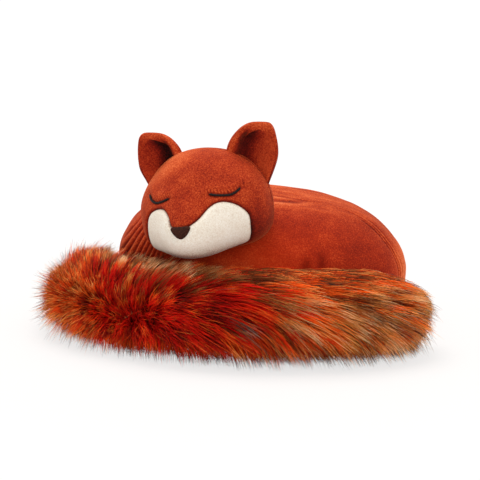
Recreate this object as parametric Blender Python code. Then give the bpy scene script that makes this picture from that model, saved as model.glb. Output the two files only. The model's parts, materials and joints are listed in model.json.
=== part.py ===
# Curled-up plush fox: covers, panels, fillings and fur tail as separate solids.
# Metres, Z up, the face looks towards -Y. The toy rests on its base panel at Z = 0.
import math

import bmesh
import bpy
import numpy as np
from mathutils import Matrix, Vector

# Cloth and fits
clothThickness = 0.0020
earClothThickness = 0.0024
fitGap = 0.0003
cutOverrun = 0.020
sampleStep = 1e-4
poleShare = 0.01

# Body: a loaf, wider than deep, fuller at its left shoulder than at its right end
bodyCentreX = 0.019
bodyCentreY = 0.040
bodyHalfWidth = 0.1215
bodyHalfDepthFront = 0.089
bodyHalfDepthBack = 0.078
bodyWidestHeight = 0.045
bodyDomeHeight = 0.068
bodyPlanPower = 2.3
bodyRightPower = 1.86
bodyLeftPower = 2.7
bodyBaseShare = 0.80
bodyTuckAngle = math.radians(70)
bodySeamShare = 0.1124
bodySeamSlantShare = 0.194
bodyAroundSteps = 40
bodyDomeSteps = 7
bodyTuckSteps = 4

# Bean bag on the base panel, inside the filling
beanBagHalfWidth = 0.070
beanBagHalfDepth = 0.045
beanBagHeight = 0.028
beanBagAroundSteps = 24
beanBagDomeSteps = 5

# Head: it keeps its place over the body's front left shoulder
headOffCentre = 0.0458
headBehindFront = 0.0150
headBelowCrown = 0.0010
headHalfWidth = 0.0535
headHalfDepth = 0.0440
headHalfHeight = 0.0445
headCentre = Vector((
    bodyCentreX - headOffCentre,
    bodyCentreY - bodyHalfDepthFront + headBehindFront,
    bodyWidestHeight + bodyDomeHeight - headBelowCrown,
))
headTopPower = 2.05
headCheekPower = 2.35
cheekBlendShare = 0.3
headYaw = math.radians(18)
headPitch = math.radians(6)
headRoll = math.radians(9)
headSeamSetBack = 0.004
headNeckSetBack = 0.0440
headNeckRise = 0.0020
headAroundSteps = 30
headPolarSteps = 17
muzzleLength = 0.0170
muzzleDropShare = 0.20
muzzleSpread = math.radians(27)
jawPressDepth = 0.0045
jawPressSpread = math.radians(32)
jawPressShares = (0.70, 0.25, -0.67)

# Nose pad and embroidered eyes, in the plane of the face
noseHalfWidth = 0.0075
noseHeight = 0.0070
noseThickness = 0.0020
eyeThreadRadius = 0.0006

# Ears
earHeightLeft = 0.0315
earHeightRight = 0.0368
earCupDepth = 0.0085
earTurn = math.radians(-10)
earTilt = math.radians(7)
earTipShare = 0.985
earLiningShare = 0.86
earLiningTipShare = 0.90
earAcrossSteps = 8
earUpSteps = 8

# Tail: it lies round the body, so its spread, reach and height follow the body's
tailPastSide = 0.0285
tailPastFront = 0.0110
tailBelowCrown = 0.0370
tailSpread = bodyHalfWidth + tailPastSide
tailReach = bodyHalfDepthFront + tailPastFront
tailHeight = bodyWidestHeight + bodyDomeHeight - tailBelowCrown
tailHalfWidth = 0.0410
tailHingeShares = (-0.4267, 1.01)
tailFurrowShare = 0.12
tailFurrowPlace = 0.43
tailFurrowLength = 0.17
tailFurrowTurn = math.radians(3)
tailFurrowSpread = math.radians(38)
tailAroundSteps = 22
tailAlongSteps = 24
tailCoreAroundSteps = 16
tailCoreShare = 0.50
tailSleeveStartShare = 0.03
tailCoreEndShare = 0.90

# Muzzle patch: shares of the head's half width and half height, seen along the face's forward axis
muzzlePatchShares = [
    (-0.70, 0.00), (-0.62, 0.12), (-0.49, 0.20), (-0.34, 0.22), (-0.24, 0.12), (-0.19, -0.04),
    (-0.03, -0.10), (0.11, -0.05), (0.25, 0.04), (0.37, 0.17), (0.48, 0.22), (0.60, 0.19), (0.73, 0.08),
    (0.82, -0.12), (0.80, -0.38), (0.69, -0.57), (0.42, -0.74), (0.10, -0.86), (-0.35, -0.87),
    (-0.67, -0.72), (-0.77, -0.45), (-0.76, -0.20),
]
noseSeatShares = (-0.02, -0.125)
noseShares = [
    (-0.80, 0.50), (0, 0.54), (0.80, 0.50), (1, 0.26), (0.60, -0.38), (0, -0.72), (-0.60, -0.38), (-1, 0.26),
]
eyeLeftShares = [(-0.63, 0.42), (-0.57, 0.34), (-0.47, 0.31), (-0.35, 0.34), (-0.23, 0.39)]
eyeRightShares = [(0.37, 0.38), (0.46, 0.34), (0.56, 0.31), (0.66, 0.30), (0.75, 0.34), (0.78, 0.37)]
# Ear seats against the head's centre, and ear edges: height, outer edge, crown edge in shares of the ear's height
earSeatShares = {-1: (-0.645, -0.202, 0.533), 1: (0.649, 0.207, 0.674)}
earEdgeShares = [
    (-0.34, 0.40, -0.46), (0.00, 0.53, -0.55), (0.25, 0.60, -0.54), (0.47, 0.615, -0.49), (0.66, 0.605, -0.39),
    (0.82, 0.585, -0.25), (0.92, 0.54, -0.11), (0.98, 0.46, 0.04), (1.00, 0.36, 0.20),
]

# Tail spine from its root at the body's rear left to its tip: across, depth, width, height, lift shares
tailShares = [
    (-0.34, 0.80, 0.40, 0.52, 0.02),
    (-0.62, 0.80, 0.50, 0.56, 0),
    (-0.83, 0.58, 0.64, 0.70, 0),
    (-0.88, 0.22, 0.76, 0.86, 0),
    (-0.79, -0.20, 0.88, 0.96, 0),
    (-0.50, -0.61, 0.96, 0.95, 0),
    (-0.12, -0.84, 1.00, 0.91, 0),
    (0.25, -0.92, 0.98, 0.92, 0),
    (0.58, -0.85, 0.94, 0.90, 0),
    (0.81, -0.71, 0.86, 0.80, 0.02),
    (0.92, -0.61, 0.66, 0.60, 0.08),
    (0.97, -0.56, 0.26, 0.24, 0.24),
]


def clearScene():
    for item in list(bpy.data.objects):
        bpy.data.objects.remove(item, do_unlink=True)


def makeMaterial(name, colour, roughness):
    material = bpy.data.materials.new(name)
    material.use_nodes = True
    shader = material.node_tree.nodes["Principled BSDF"]
    shader.inputs["Base Color"].default_value = (*colour, 1)
    shader.inputs["Roughness"].default_value = roughness
    shader.inputs["Metallic"].default_value = 0
    material.diffuse_color = (*colour, 1)
    return material


def signedPower(value, power):
    return np.sign(value) * np.abs(value) ** power


def bodySurface(around, down):
    """Body skin: around is the plan angle, down runs from 0 at the crown over 1 at the widest to 2."""
    planShare = 2 / bodyPlanPower
    cosine = signedPower(np.cos(around), planShare)
    sine = signedPower(np.sin(around), planShare)
    leftShare = (1 - cosine) / 2
    power = bodyRightPower + (bodyLeftPower - bodyRightPower) * leftShare
    halfDepth = np.where(sine < 0, bodyHalfDepthFront, bodyHalfDepthBack)
    dome = np.clip(down, 0, 1) * math.pi / 2
    tuck = np.clip(down - 1, 0, 1) * bodyTuckAngle
    domeReach = np.abs(np.sin(dome)) ** (2 / power)
    tuckReach = bodyBaseShare + (1 - bodyBaseShare) * np.cos(tuck)
    reach = np.where(down < 1, domeReach, tuckReach)
    domeHeight = bodyWidestHeight + bodyDomeHeight * np.abs(np.cos(dome)) ** (2 / power)
    tuckHeight = bodyWidestHeight * (1 - np.sin(tuck) / math.sin(bodyTuckAngle))
    height = np.where(down < 1, domeHeight, tuckHeight)
    x = bodyCentreX + bodyHalfWidth * cosine * reach
    y = bodyCentreY + halfDepth * sine * reach
    return np.stack([x, y, height], axis=-1)


def headFrame():
    turn = Matrix.Rotation(-headYaw, 4, "Z")
    nod = Matrix.Rotation(headPitch, 4, "X")
    tilt = Matrix.Rotation(-headRoll, 4, "Y")
    return Matrix.Translation(headCentre) @ turn @ nod @ tilt


def headLocal(around, polar):
    """Head skin in the head's frame: polar is 0 at the muzzle, which looks along local -Y."""
    right = np.sin(polar) * np.cos(around)
    forward = np.cos(polar)
    up = np.sin(polar) * np.sin(around)
    cheek = (1 - np.tanh(up / cheekBlendShare)) / 2
    power = headTopPower + (headCheekPower - headTopPower) * cheek
    total = (np.abs(right / headHalfWidth) ** power + np.abs(forward / headHalfDepth) ** power
             + np.abs(up / headHalfHeight) ** power)
    reach = total ** (-1 / power)
    noseDirection = np.array([0, 1, -muzzleDropShare])
    noseDirection = noseDirection / np.linalg.norm(noseDirection)
    cosine = np.clip(forward * noseDirection[1] + up * noseDirection[2], -1, 1)
    reach = reach + muzzleLength * np.exp(-(np.arccos(cosine) / muzzleSpread) ** 2)
    press = np.array(jawPressShares) / np.linalg.norm(jawPressShares)
    cosine = np.clip(right * press[0] + forward * press[1] + up * press[2], -1, 1)
    reach = reach - jawPressDepth * np.exp(-(np.arccos(cosine) / jawPressSpread) ** 2)
    return np.stack([right * reach, -forward * reach, up * reach], axis=-1)


def headSurface(around, polar):
    frame = np.array(headFrame())
    return headLocal(around, polar) @ frame[:3, :3].T + frame[:3, 3]


def offsetPoints(surface, first, second, depth):
    """Points of a surface moved inwards by depth along its normal."""
    point = surface(first, second)
    alongFirst = surface(first + sampleStep, second) - surface(first - sampleStep, second)
    alongSecond = surface(first, second + sampleStep) - surface(first, second - sampleStep)
    normal = np.cross(alongFirst, alongSecond)
    normal = normal / np.linalg.norm(normal, axis=-1, keepdims=True)
    return point + depth * normal


def addMesh(name, vertices, faces):
    mesh = bpy.data.meshes.new(name)
    mesh.from_pydata([tuple(point) for point in vertices], [], faces)
    work = bmesh.new()
    work.from_mesh(mesh)
    bmesh.ops.recalc_face_normals(work, faces=work.faces)
    work.to_mesh(mesh)
    work.free()
    for polygon in mesh.polygons:
        polygon.use_smooth = True
    item = bpy.data.objects.new(name, mesh)
    bpy.context.collection.objects.link(item)
    return item


def wrapRings(name, rings, firstPoint, lastPoint=None):
    """Closed solid through a stack of rings: a fan at the first end, a fan or one flat face at the last."""
    steps = len(rings[0])
    vertices = [point for ring in rings for point in ring] + [firstPoint]
    first = len(vertices) - 1
    faces = []
    for row in range(len(rings) - 1):
        for column in range(steps):
            following = (column + 1) % steps
            a = row * steps + column
            b = row * steps + following
            faces.append((a, b, b + steps))
            faces.append((a, b + steps, a + steps))
    lastRow = (len(rings) - 1) * steps
    faces += [(first, (column + 1) % steps, column) for column in range(steps)]
    if lastPoint is None:
        faces.append(tuple(range(lastRow, lastRow + steps)))
        return addMesh(name, vertices, faces)
    vertices.append(lastPoint)
    faces += [(first + 1, lastRow + column, lastRow + (column + 1) % steps) for column in range(steps)]
    return addMesh(name, vertices, faces)


def wrapSheet(name, front, back):
    """Closed slab between two grids of points of the same layout."""
    rows, columns = front.shape[:2]
    size = rows * columns
    vertices = list(front.reshape(-1, 3)) + list(back.reshape(-1, 3))
    faces = []
    for row in range(rows - 1):
        for column in range(columns - 1):
            a = row * columns + column
            b = a + columns
            for corners in ((a, a + 1, b + 1), (a, b + 1, b)):
                faces.append(corners)
                faces.append(tuple(size + corner for corner in reversed(corners)))
    edge = list(range(columns))
    edge += [row * columns + columns - 1 for row in range(1, rows)]
    edge += [(rows - 1) * columns + column for column in reversed(range(columns - 1))]
    edge += [row * columns for row in reversed(range(1, rows - 1))]
    for a, b in zip(edge, edge[1:] + edge[:1]):
        faces.append((b, a, size + a))
        faces.append((b, size + a, size + b))
    return addMesh(name, vertices, faces)


def wrapPrism(name, outline, low, high, axis):
    """Closed prism of a plan outline: axis 2 extrudes along Z, axis 1 along Y."""
    def lift(point, level):
        if axis == 2:
            return (point[0], point[1], level)
        return (point[0], level, point[1])
    count = len(outline)
    vertices = [lift(point, low) for point in outline] + [lift(point, high) for point in outline]
    faces = [tuple(range(count)), tuple(range(2 * count - 1, count - 1, -1))]
    for index in range(count):
        following = (index + 1) % count
        faces.append((index, following, count + following, count + index))
    return addMesh(name, vertices, faces)


def ring(surface, steps, second, depth):
    around = np.arange(steps) * 2 * math.pi / steps
    return offsetPoints(surface, around, np.full(steps, second), depth)


def bodyRings(depth):
    domes = [step / bodyDomeSteps for step in range(1, bodyDomeSteps + 1)]
    tucks = [1 + step / bodyTuckSteps for step in range(1, bodyTuckSteps + 1)]
    return [ring(bodySurface, bodyAroundSteps, down, depth) for down in domes + tucks]


def bodySolid(name, depth, floor=None, below=None):
    """Body volume at a depth under its skin: flat on a floor, or run straight down below the table."""
    rings = bodyRings(depth)
    if floor is not None:
        rings = [np.column_stack([row[:, :2], np.maximum(row[:, 2], floor)]) for row in rings]
    if below is not None:
        rings.append(np.column_stack([rings[-1][:, :2], np.full(bodyAroundSteps, below)]))
    top = ring(bodySurface, bodyAroundSteps, poleShare, depth).mean(axis=0)
    return wrapRings(name, rings, top)


def headSolid(name, depth):
    polars = [math.pi * step / headPolarSteps for step in range(1, headPolarSteps)]
    rings = [ring(headSurface, headAroundSteps, polar, depth) for polar in polars]
    tip = ring(headSurface, headAroundSteps, poleShare, depth).mean(axis=0)
    nape = ring(headSurface, headAroundSteps, math.pi - poleShare, depth).mean(axis=0)
    return wrapRings(name, rings, tip, nape)


def smoothStep(a, b, c, d, part):
    """Point between b and c on a smooth curve through four points."""
    return 0.5 * (2 * b + (c - a) * part + (2 * a - 5 * b + 4 * c - d) * part ** 2
                  + (3 * b - a - 3 * c + d) * part ** 3)


def smoothStations(stations, along):
    """Smooth curve through a list of stations, along running from 0 to 1."""
    table = np.array(stations)
    table = np.vstack([2 * table[0] - table[1], table, 2 * table[-1] - table[-2]])
    place = np.clip(along, 0, 1) * (len(stations) - 1)
    index = np.minimum(place.astype(int), len(stations) - 2)
    part = (place - index)[..., None]
    return smoothStep(*(table[index + step] for step in range(4)), part)


def tailSurface(around, along, share=1, growth=0):
    """Tail skin: a ring angle and a place along the spine; the fur's underside lies on the table."""
    station = smoothStations(tailShares, along)
    ahead = smoothStations(tailShares, along + sampleStep)
    behind = smoothStations(tailShares, along - sampleStep)
    heading = (ahead - behind)[..., :2] * np.array([tailSpread, tailReach])
    heading = heading / np.linalg.norm(heading, axis=-1, keepdims=True)
    furrow = np.exp(-((along - tailFurrowPlace) / tailFurrowLength) ** 2) * tailFurrowShare * (share == 1)
    turned = (around + math.pi) % (2 * math.pi) - math.pi
    furrow = 1 - furrow * np.exp(-((turned - tailFurrowTurn) / tailFurrowSpread) ** 2)
    halfWidth = station[..., 2] * tailHalfWidth * share * furrow + growth
    halfHeight = station[..., 3] * tailHeight / 2 * share * furrow + growth
    middle = (station[..., 3] / 2 + station[..., 4]) * tailHeight
    across = halfWidth * np.cos(around)
    x = station[..., 0] * tailSpread + across * heading[..., 1]
    y = station[..., 1] * tailReach - across * heading[..., 0]
    z = middle + halfHeight * np.sin(around)
    return np.stack([x, y, z], axis=-1)


def tailSolid(name, aroundSteps, alongSteps, reach, share, growth):
    around = np.arange(aroundSteps) * 2 * math.pi / aroundSteps
    places = np.linspace(reach[0], reach[1], alongSteps + 1)
    rings = [tailSurface(around, np.full(aroundSteps, place), share, growth) for place in places]
    return wrapRings(name, rings, rings[0].mean(axis=0), rings[-1].mean(axis=0))


def smoothOutline(shares, halfWidth, halfHeight, stepsPerPoint):
    """Closed smooth outline through hand-placed points, in the plane of the face."""
    count = len(shares)
    closed = [shares[-1]] + shares + [shares[0], shares[1]]
    table = np.array(closed) * np.array([halfWidth, halfHeight])
    points = []
    for index in range(count):
        for step in range(stepsPerPoint):
            points.append(smoothStep(*table[index:index + 4], step / stepsPerPoint))
    return np.array(points)


def growOutline(outline, growth):
    """Outline moved outwards by a small growth."""
    ahead = np.roll(outline, -1, axis=0) - np.roll(outline, 1, axis=0)
    ahead = ahead / np.linalg.norm(ahead, axis=1, keepdims=True)
    area = np.sum(outline[:, 0] * np.roll(outline[:, 1], -1) - np.roll(outline[:, 0], -1) * outline[:, 1])
    side = 1 if area > 0 else -1
    return outline + side * growth * np.column_stack([ahead[:, 1], -ahead[:, 0]])


def hideCutter(item):
    item.hide_render = True
    item.display_type = "WIRE"
    return item


def cut(item, cutter, operation="DIFFERENCE"):
    modifier = item.modifiers.new(operation.lower() + "_" + cutter.name, "BOOLEAN")
    modifier.operation = operation
    modifier.solver = "EXACT"
    modifier.object = cutter
    return item


def boxOutline(low, high):
    return np.array([(low[0], low[1]), (high[0], low[1]), (high[0], high[1]), (low[0], high[1])])


def inHead(item):
    """Moves a mesh that was made in the head's frame to its place."""
    item.data.transform(headFrame())
    return item


def facePoint(right, up, depth):
    """Point on the face in front of a place in the plane of the face."""
    around = np.array(math.atan2(up, right))
    wanted = math.hypot(right, up)
    low, high = 0, math.pi / 2
    for _ in range(40):
        polar = (low + high) / 2
        local = headLocal(around, np.array(polar))
        if math.hypot(local[0], local[2]) < wanted:
            low = polar
        else:
            high = polar
    return offsetPoints(headSurface, around, np.array(polar), depth)


def faceThread(name, shares, radius):
    """Embroidered thread laid on the face along a smooth line."""
    line = []
    table = np.array([shares[0]] + shares + [shares[-1]]) * np.array([headHalfWidth, headHalfHeight])
    for index in range(len(shares) - 1):
        for part in (0, 1 / 3, 2 / 3):
            line.append(smoothStep(*table[index:index + 4], part))
    line.append(table[-1])
    curve = bpy.data.curves.new(name, "CURVE")
    curve.dimensions = "3D"
    curve.bevel_depth = radius
    curve.bevel_resolution = 1
    curve.use_fill_caps = True
    spline = curve.splines.new("POLY")
    spline.points.add(len(line) - 1)
    for point, (right, up) in zip(spline.points, line):
        point.co = (*facePoint(right, up, -(radius + fitGap)), 1)
    item = bpy.data.objects.new(name, curve)
    bpy.context.collection.objects.link(item)
    return item


def noseOutline(growth):
    """Rounded triangle, point down."""
    seatRight = noseSeatShares[0] * headHalfWidth
    seatUp = noseSeatShares[1] * headHalfHeight
    outline = smoothOutline(noseShares, noseHalfWidth, noseHeight, 2) + np.array([seatRight, seatUp])
    return growOutline(outline, growth)


def earSurface(side):
    """Ear in its own frame: a cupped leaf with its tip on the outer side, open towards -Y."""
    height = earHeightLeft if side < 0 else earHeightRight
    fine = smoothStations(earEdgeShares, np.linspace(0, 1, 20 * len(earEdgeShares)))

    def surface(across, up):
        outer = side * np.interp(up, fine[:, 0], fine[:, 1])
        inner = side * np.interp(up, fine[:, 0], fine[:, 2])
        low, high = np.minimum(outer, inner), np.maximum(outer, inner)
        cup = earCupDepth * np.clip(1 - np.maximum(up, 0) ** 2, 0, 1) * (1 - across ** 2)
        return np.stack([height * (low + (high - low) * (across + 1) / 2), cup, height * up], axis=-1)

    return surface


def earFrame(side):
    right, forward, up = earSeatShares[side]
    seat = headCentre + Vector((right * headHalfWidth, -forward * headHalfDepth, up * headHalfHeight))
    return Matrix.Translation(seat) @ Matrix.Rotation(earTurn, 4, "Z") @ Matrix.Rotation(earTilt, 4, "X")


def earLayer(name, side, firstDepth, lastDepth, reach, tip):
    surface = earSurface(side)
    across = np.linspace(-reach, reach, earAcrossSteps + 1)
    bottom = earEdgeShares[0][0]
    up = bottom + (tip - bottom) * np.sin(np.linspace(0, math.pi / 2, earUpSteps + 1))
    acrossGrid, upGrid = np.meshgrid(across, up)
    item = wrapSheet(name, offsetPoints(surface, acrossGrid, upGrid, firstDepth),
                     offsetPoints(surface, acrossGrid, upGrid, lastDepth))
    item.data.transform(earFrame(side))
    return item


def beanBagSolid(name, growth, low):
    base = clothThickness + fitGap
    rings = []
    around = np.arange(beanBagAroundSteps) * 2 * math.pi / beanBagAroundSteps
    for step in range(beanBagDomeSteps):
        angle = step / beanBagDomeSteps * math.pi / 2
        x = bodyCentreX + (beanBagHalfWidth + growth) * np.cos(around) * math.cos(angle)
        y = bodyCentreY + (beanBagHalfDepth + growth) * np.sin(around) * math.cos(angle)
        z = base + (beanBagHeight + growth) * math.sin(angle)
        rings.append(np.column_stack([x, y, np.full(beanBagAroundSteps, z)]))
    bottom = np.column_stack([rings[0][:, :2], np.full(beanBagAroundSteps, low)])
    top = Vector((bodyCentreX, bodyCentreY, base + beanBagHeight + growth))
    if low < base:
        rings.insert(0, bottom)
    return wrapRings(name, rings, rings[0].mean(axis=0), top)


def buildBody(cutters):
    front = bodySolid("body_front_cover", 0)
    back = bodySolid("body_back_cover", 0)
    inner = hideCutter(bodySolid("cutter_body_inner", clothThickness, below=-cutOverrun))
    seamY = bodyCentreY - bodySeamShare * bodyHalfDepthFront
    slant = bodySeamSlantShare * (bodyHalfWidth + cutOverrun)
    low = (bodyCentreX - bodyHalfWidth - cutOverrun, bodyCentreY - bodyHalfDepthFront - cutOverrun)
    high = (bodyCentreX + bodyHalfWidth + cutOverrun, bodyCentreY + bodyHalfDepthBack + cutOverrun)
    ceiling = bodyWidestHeight + bodyDomeHeight + cutOverrun
    left = (low[0], seamY + slant)
    right = (high[0], seamY - slant)
    half = np.array([0, fitGap / 2])
    behind = np.array([left - half, right - half, high, (low[0], high[1])])
    before = np.array([low, (high[0], low[1]), right + half, left + half])
    behindBox = hideCutter(wrapPrism("cutter_behind_seam", behind, -cutOverrun, ceiling, 2))
    beforeBox = hideCutter(wrapPrism("cutter_before_seam", before, -cutOverrun, ceiling, 2))
    cut(cut(front, inner), behindBox)
    cut(cut(back, inner), beforeBox)
    outline = bodyRings(clothThickness + fitGap)[-1][:, :2]
    base = wrapPrism("body_base_panel", outline, 0, clothThickness, 2)
    for polygon in base.data.polygons:
        polygon.use_smooth = False
    filling = bodySolid("body_filling", clothThickness + fitGap, floor=clothThickness + fitGap)
    bag = beanBagSolid("bean_bag", 0, clothThickness + fitGap)
    cut(filling, hideCutter(beanBagSolid("cutter_bean_bag", fitGap, -cutOverrun)))
    cutters += [inner, behindBox, beforeBox, bpy.data.objects["cutter_bean_bag"]]
    return [front, back, base, filling, bag]


def buildHead(seats, cutters):
    body = seats[0]
    face = headSolid("head_face_cover", 0)
    back = headSolid("head_back_cover", 0)
    patch = headSolid("muzzle_patch", 0)
    inner = hideCutter(headSolid("cutter_head_inner", clothThickness))
    reach = headHalfWidth + cutOverrun
    square = boxOutline((-reach, -reach), (reach, reach))
    rearSpan = (headSeamSetBack - fitGap / 2, reach)
    frontSpan = (-reach, headSeamSetBack + fitGap / 2)
    rear = hideCutter(inHead(wrapPrism("cutter_head_rear", square, *rearSpan, 1)))
    front = hideCutter(inHead(wrapPrism("cutter_head_front", square, *frontSpan, 1)))
    outline = smoothOutline(muzzlePatchShares, headHalfWidth, headHalfHeight, 2)
    window = hideCutter(inHead(wrapPrism("cutter_patch_window", growOutline(outline, fitGap), -reach, 0, 1)))
    stamp = hideCutter(inHead(wrapPrism("cutter_patch_stamp", outline, -reach, 0, 1)))
    for cutter in (inner, rear, window, body):
        cut(face, cutter)
    for cutter in (inner, front, body):
        cut(back, cutter)
    cut(cut(cut(patch, inner), stamp, "INTERSECT"), body)
    filling = headSolid("head_filling", clothThickness + fitGap)
    cut(filling, seats[2])
    panel = headSolid("neck_closing_panel", clothThickness + fitGap)
    cut(cut(panel, seats[1], "INTERSECT"), body)
    nose = headSolid("nose", -noseThickness)
    noseBase = hideCutter(headSolid("cutter_nose_base", -fitGap))
    noseStamp = hideCutter(inHead(wrapPrism("cutter_nose_stamp", noseOutline(0), -reach, 0, 1)))
    cut(cut(nose, noseBase), noseStamp, "INTERSECT")
    eyes = [faceThread("eye_stitch_left", eyeLeftShares, eyeThreadRadius),
            faceThread("eye_stitch_right", eyeRightShares, eyeThreadRadius)]
    skull = hideCutter(headSolid("cutter_head_skin", -fitGap))
    ears = []
    for side, word in ((-1, "left"), (1, "right")):
        innerStart = earClothThickness + fitGap
        innerEnd = innerStart + earClothThickness
        outerLayer = earLayer("ear_" + word + "_outer", side, 0, earClothThickness, 1, earTipShare)
        innerLayer = earLayer("ear_" + word + "_inner", side, innerStart, innerEnd, earLiningShare, earLiningTipShare)
        ears += [cut(outerLayer, skull), cut(innerLayer, skull)]
    cutters += [inner, rear, front, window, stamp, noseBase, noseStamp, skull]
    return [face, back, patch, filling, panel, nose] + eyes + ears


def buildTail(seats, cutters):
    cover = tailSolid("tail_fur_cover", tailAroundSteps, tailAlongSteps, (tailSleeveStartShare, 1), 1, 0)
    coreReach = (0, tailCoreEndShare)
    coreSteps = (tailCoreAroundSteps, tailAlongSteps, coreReach, tailCoreShare)
    core = hideCutter(tailSolid("cutter_tail_core", *coreSteps, 0))
    cut(cut(cover, core), seats[0])
    filling = cut(tailSolid("tail_filling", *coreSteps, -fitGap), seats[2])
    panel = tailSolid("tail_root_panel", *coreSteps, -fitGap)
    cut(cut(panel, seats[1], "INTERSECT"), seats[0])
    cutters.append(core)
    return [cover, filling, panel]


def makePivot(name, place, parent):
    pivot = bpy.data.objects.new(name, None)
    bpy.context.collection.objects.link(pivot)
    pivot.parent = parent
    pivot.location = place
    return pivot


def mountOn(items, pivot, place):
    """Hangs items on a pivot: their meshes are moved so that their origins lie on it."""
    shift = Matrix.Translation(-Vector(place))
    for item in items:
        item.data.transform(shift)
        item.parent = pivot


def settle(root, items):
    """Puts the toy's footprint centre and its underside on the world origin."""
    bpy.context.view_layer.update()
    graph = bpy.context.evaluated_depsgraph_get()
    corners = []
    for item in items:
        evaluated = item.evaluated_get(graph)
        corners += [evaluated.matrix_world @ vertex.co for vertex in evaluated.to_mesh().vertices]
        evaluated.to_mesh_clear()
    low = [min(corner[axis] for corner in corners) for axis in range(3)]
    high = [max(corner[axis] for corner in corners) for axis in range(3)]
    root.location = (-(low[0] + high[0]) / 2, -(low[1] + high[1]) / 2, -low[2])
    bpy.context.view_layer.update()


def paint(items):
    rust = makeMaterial("rust_plush", (0.42, 0.075, 0.022), 0.95)
    hollow = makeMaterial("rust_ear_lining", (0.36, 0.045, 0.018), 0.95)
    cream = makeMaterial("cream_plush", (0.83, 0.77, 0.68), 0.95)
    brown = makeMaterial("nose_suede", (0.050, 0.020, 0.013), 0.80)
    thread = makeMaterial("eye_thread", (0.018, 0.010, 0.008), 0.60)
    fur = makeMaterial("long_pile_fur", (0.38, 0.065, 0.018), 0.85)
    fibre = makeMaterial("white_fibre", (0.85, 0.85, 0.83), 0.98)
    pouch = makeMaterial("pouch_cotton", (0.70, 0.67, 0.60), 0.90)
    backing = makeMaterial("backing_cloth", (0.30, 0.10, 0.045), 0.90)
    table = {
        "body_filling": fibre, "head_filling": fibre, "tail_filling": fibre, "bean_bag": pouch,
        "muzzle_patch": cream, "nose": brown, "eye_stitch_left": thread, "eye_stitch_right": thread,
        "ear_left_inner": hollow, "ear_right_inner": hollow, "tail_fur_cover": fur,
        "neck_closing_panel": backing, "tail_root_panel": backing,
    }
    for item in items:
        item.data.materials.append(table.get(item.name, rust))


def buildFox():
    clearScene()
    cutters = []
    depths = (fitGap, fitGap + clothThickness, 2 * fitGap + clothThickness)
    names = ("cutter_body_skin", "cutter_panel_face", "cutter_filling_seat")
    seats = [hideCutter(bodySolid(name, -depth, below=-cutOverrun)) for name, depth in zip(names, depths)]
    body = buildBody(cutters)
    head = buildHead(seats, cutters)
    tail = buildTail(seats, cutters)
    cutters += seats
    root = makePivot("fox", (0, 0, 0), None)
    neck = (headCentre.x, headCentre.y + headNeckSetBack, headCentre.z + headNeckRise)
    tailRoot = (tailHingeShares[0] * tailSpread, tailHingeShares[1] * tailReach, 0)
    mountOn(body + cutters, root, (0, 0, 0))
    mountOn(head, makePivot("head_pivot", neck, root), neck)
    mountOn(tail, makePivot("tail_pivot", tailRoot, root), tailRoot)
    paint(body + head + tail)
    settle(root, body + head + tail)


buildFox()
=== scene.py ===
import json
import math

import bmesh
import bpy
import numpy as np
from mathutils import Matrix, Vector
from mathutils.bvhtree import BVHTree
from mathutils.kdtree import KDTree

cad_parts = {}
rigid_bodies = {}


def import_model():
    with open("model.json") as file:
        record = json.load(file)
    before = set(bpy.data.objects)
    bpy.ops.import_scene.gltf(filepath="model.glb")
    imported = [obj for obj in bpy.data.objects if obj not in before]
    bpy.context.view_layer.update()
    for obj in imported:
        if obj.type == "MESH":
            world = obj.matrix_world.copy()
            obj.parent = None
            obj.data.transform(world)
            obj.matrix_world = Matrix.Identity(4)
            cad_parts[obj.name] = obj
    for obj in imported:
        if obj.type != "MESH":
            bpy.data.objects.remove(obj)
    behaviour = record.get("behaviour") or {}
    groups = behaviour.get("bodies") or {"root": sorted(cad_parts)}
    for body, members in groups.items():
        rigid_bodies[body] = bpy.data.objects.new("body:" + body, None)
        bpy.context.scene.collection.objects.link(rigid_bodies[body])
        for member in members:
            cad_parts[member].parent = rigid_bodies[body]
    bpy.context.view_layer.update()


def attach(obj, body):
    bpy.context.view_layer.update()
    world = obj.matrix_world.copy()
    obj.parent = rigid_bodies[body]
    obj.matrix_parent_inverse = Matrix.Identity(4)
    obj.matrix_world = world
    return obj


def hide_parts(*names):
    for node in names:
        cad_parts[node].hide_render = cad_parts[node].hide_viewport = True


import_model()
print("frame loaded")

partShift = np.array([0.00419, 0.00654, 0])  # the part stands with its footprint centred on the origin
smallStep = 1e-4
seamGap = 0.00012
clothGap = 0.0004

# Camera
view = {
    "target": (0.00419, 0.00654, 0.075),
    "elevation": 12,
    "distance": 1.3,
    "lens": 119,
}


def addObject(name, data):
    item = bpy.data.objects.new(name, data)
    bpy.context.collection.objects.link(item)
    return item


def addCamera():
    data = bpy.data.cameras.new("camera")
    data.lens = view["lens"]
    data.sensor_width = 36
    item = addObject("camera", data)
    rise = math.radians(view["elevation"])
    back = Vector((0, -math.cos(rise), math.sin(rise))) * view["distance"]
    item.location = Vector(view["target"]) + back
    item.rotation_euler = (math.pi / 2 - rise, 0, 0)
    bpy.context.scene.camera = item


addCamera()
print("camera placed")

# Studio: white floor and a soft light from above
studio = {
    "worldStrength": 0.80,
    "worldTint": (1, 0.985, 0.97),
    # Place, size and power of each light
    "lights": {"top": ((-0.10, 0.12, 1.1), 0.9, 6.5), "fill": ((0.7, -1.2, 0.7), 1.2, 2.6)},
    "floorSize": 30,
    "floorColour": (0.88, 0.88, 0.88),
    "floorSeen": (0.24, 0.228, 0.220),
    "floorGlow": 0.726,
    "farGlow": 1.02,
    "glowTint": (1, 0.995, 0.99),
    "shadowReach": (0.21, 0.42),
}


def aimLight(name, place, size, power):
    data = bpy.data.lights.new(name, "AREA")
    data.energy = power
    data.shape = "DISK"
    data.size = size
    item = addObject(name, data)
    item.location = place
    aim = Vector((0, 0, 0.05)) - Vector(place)
    item.rotation_euler = aim.to_track_quat("-Z", "Y").to_euler()


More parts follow.
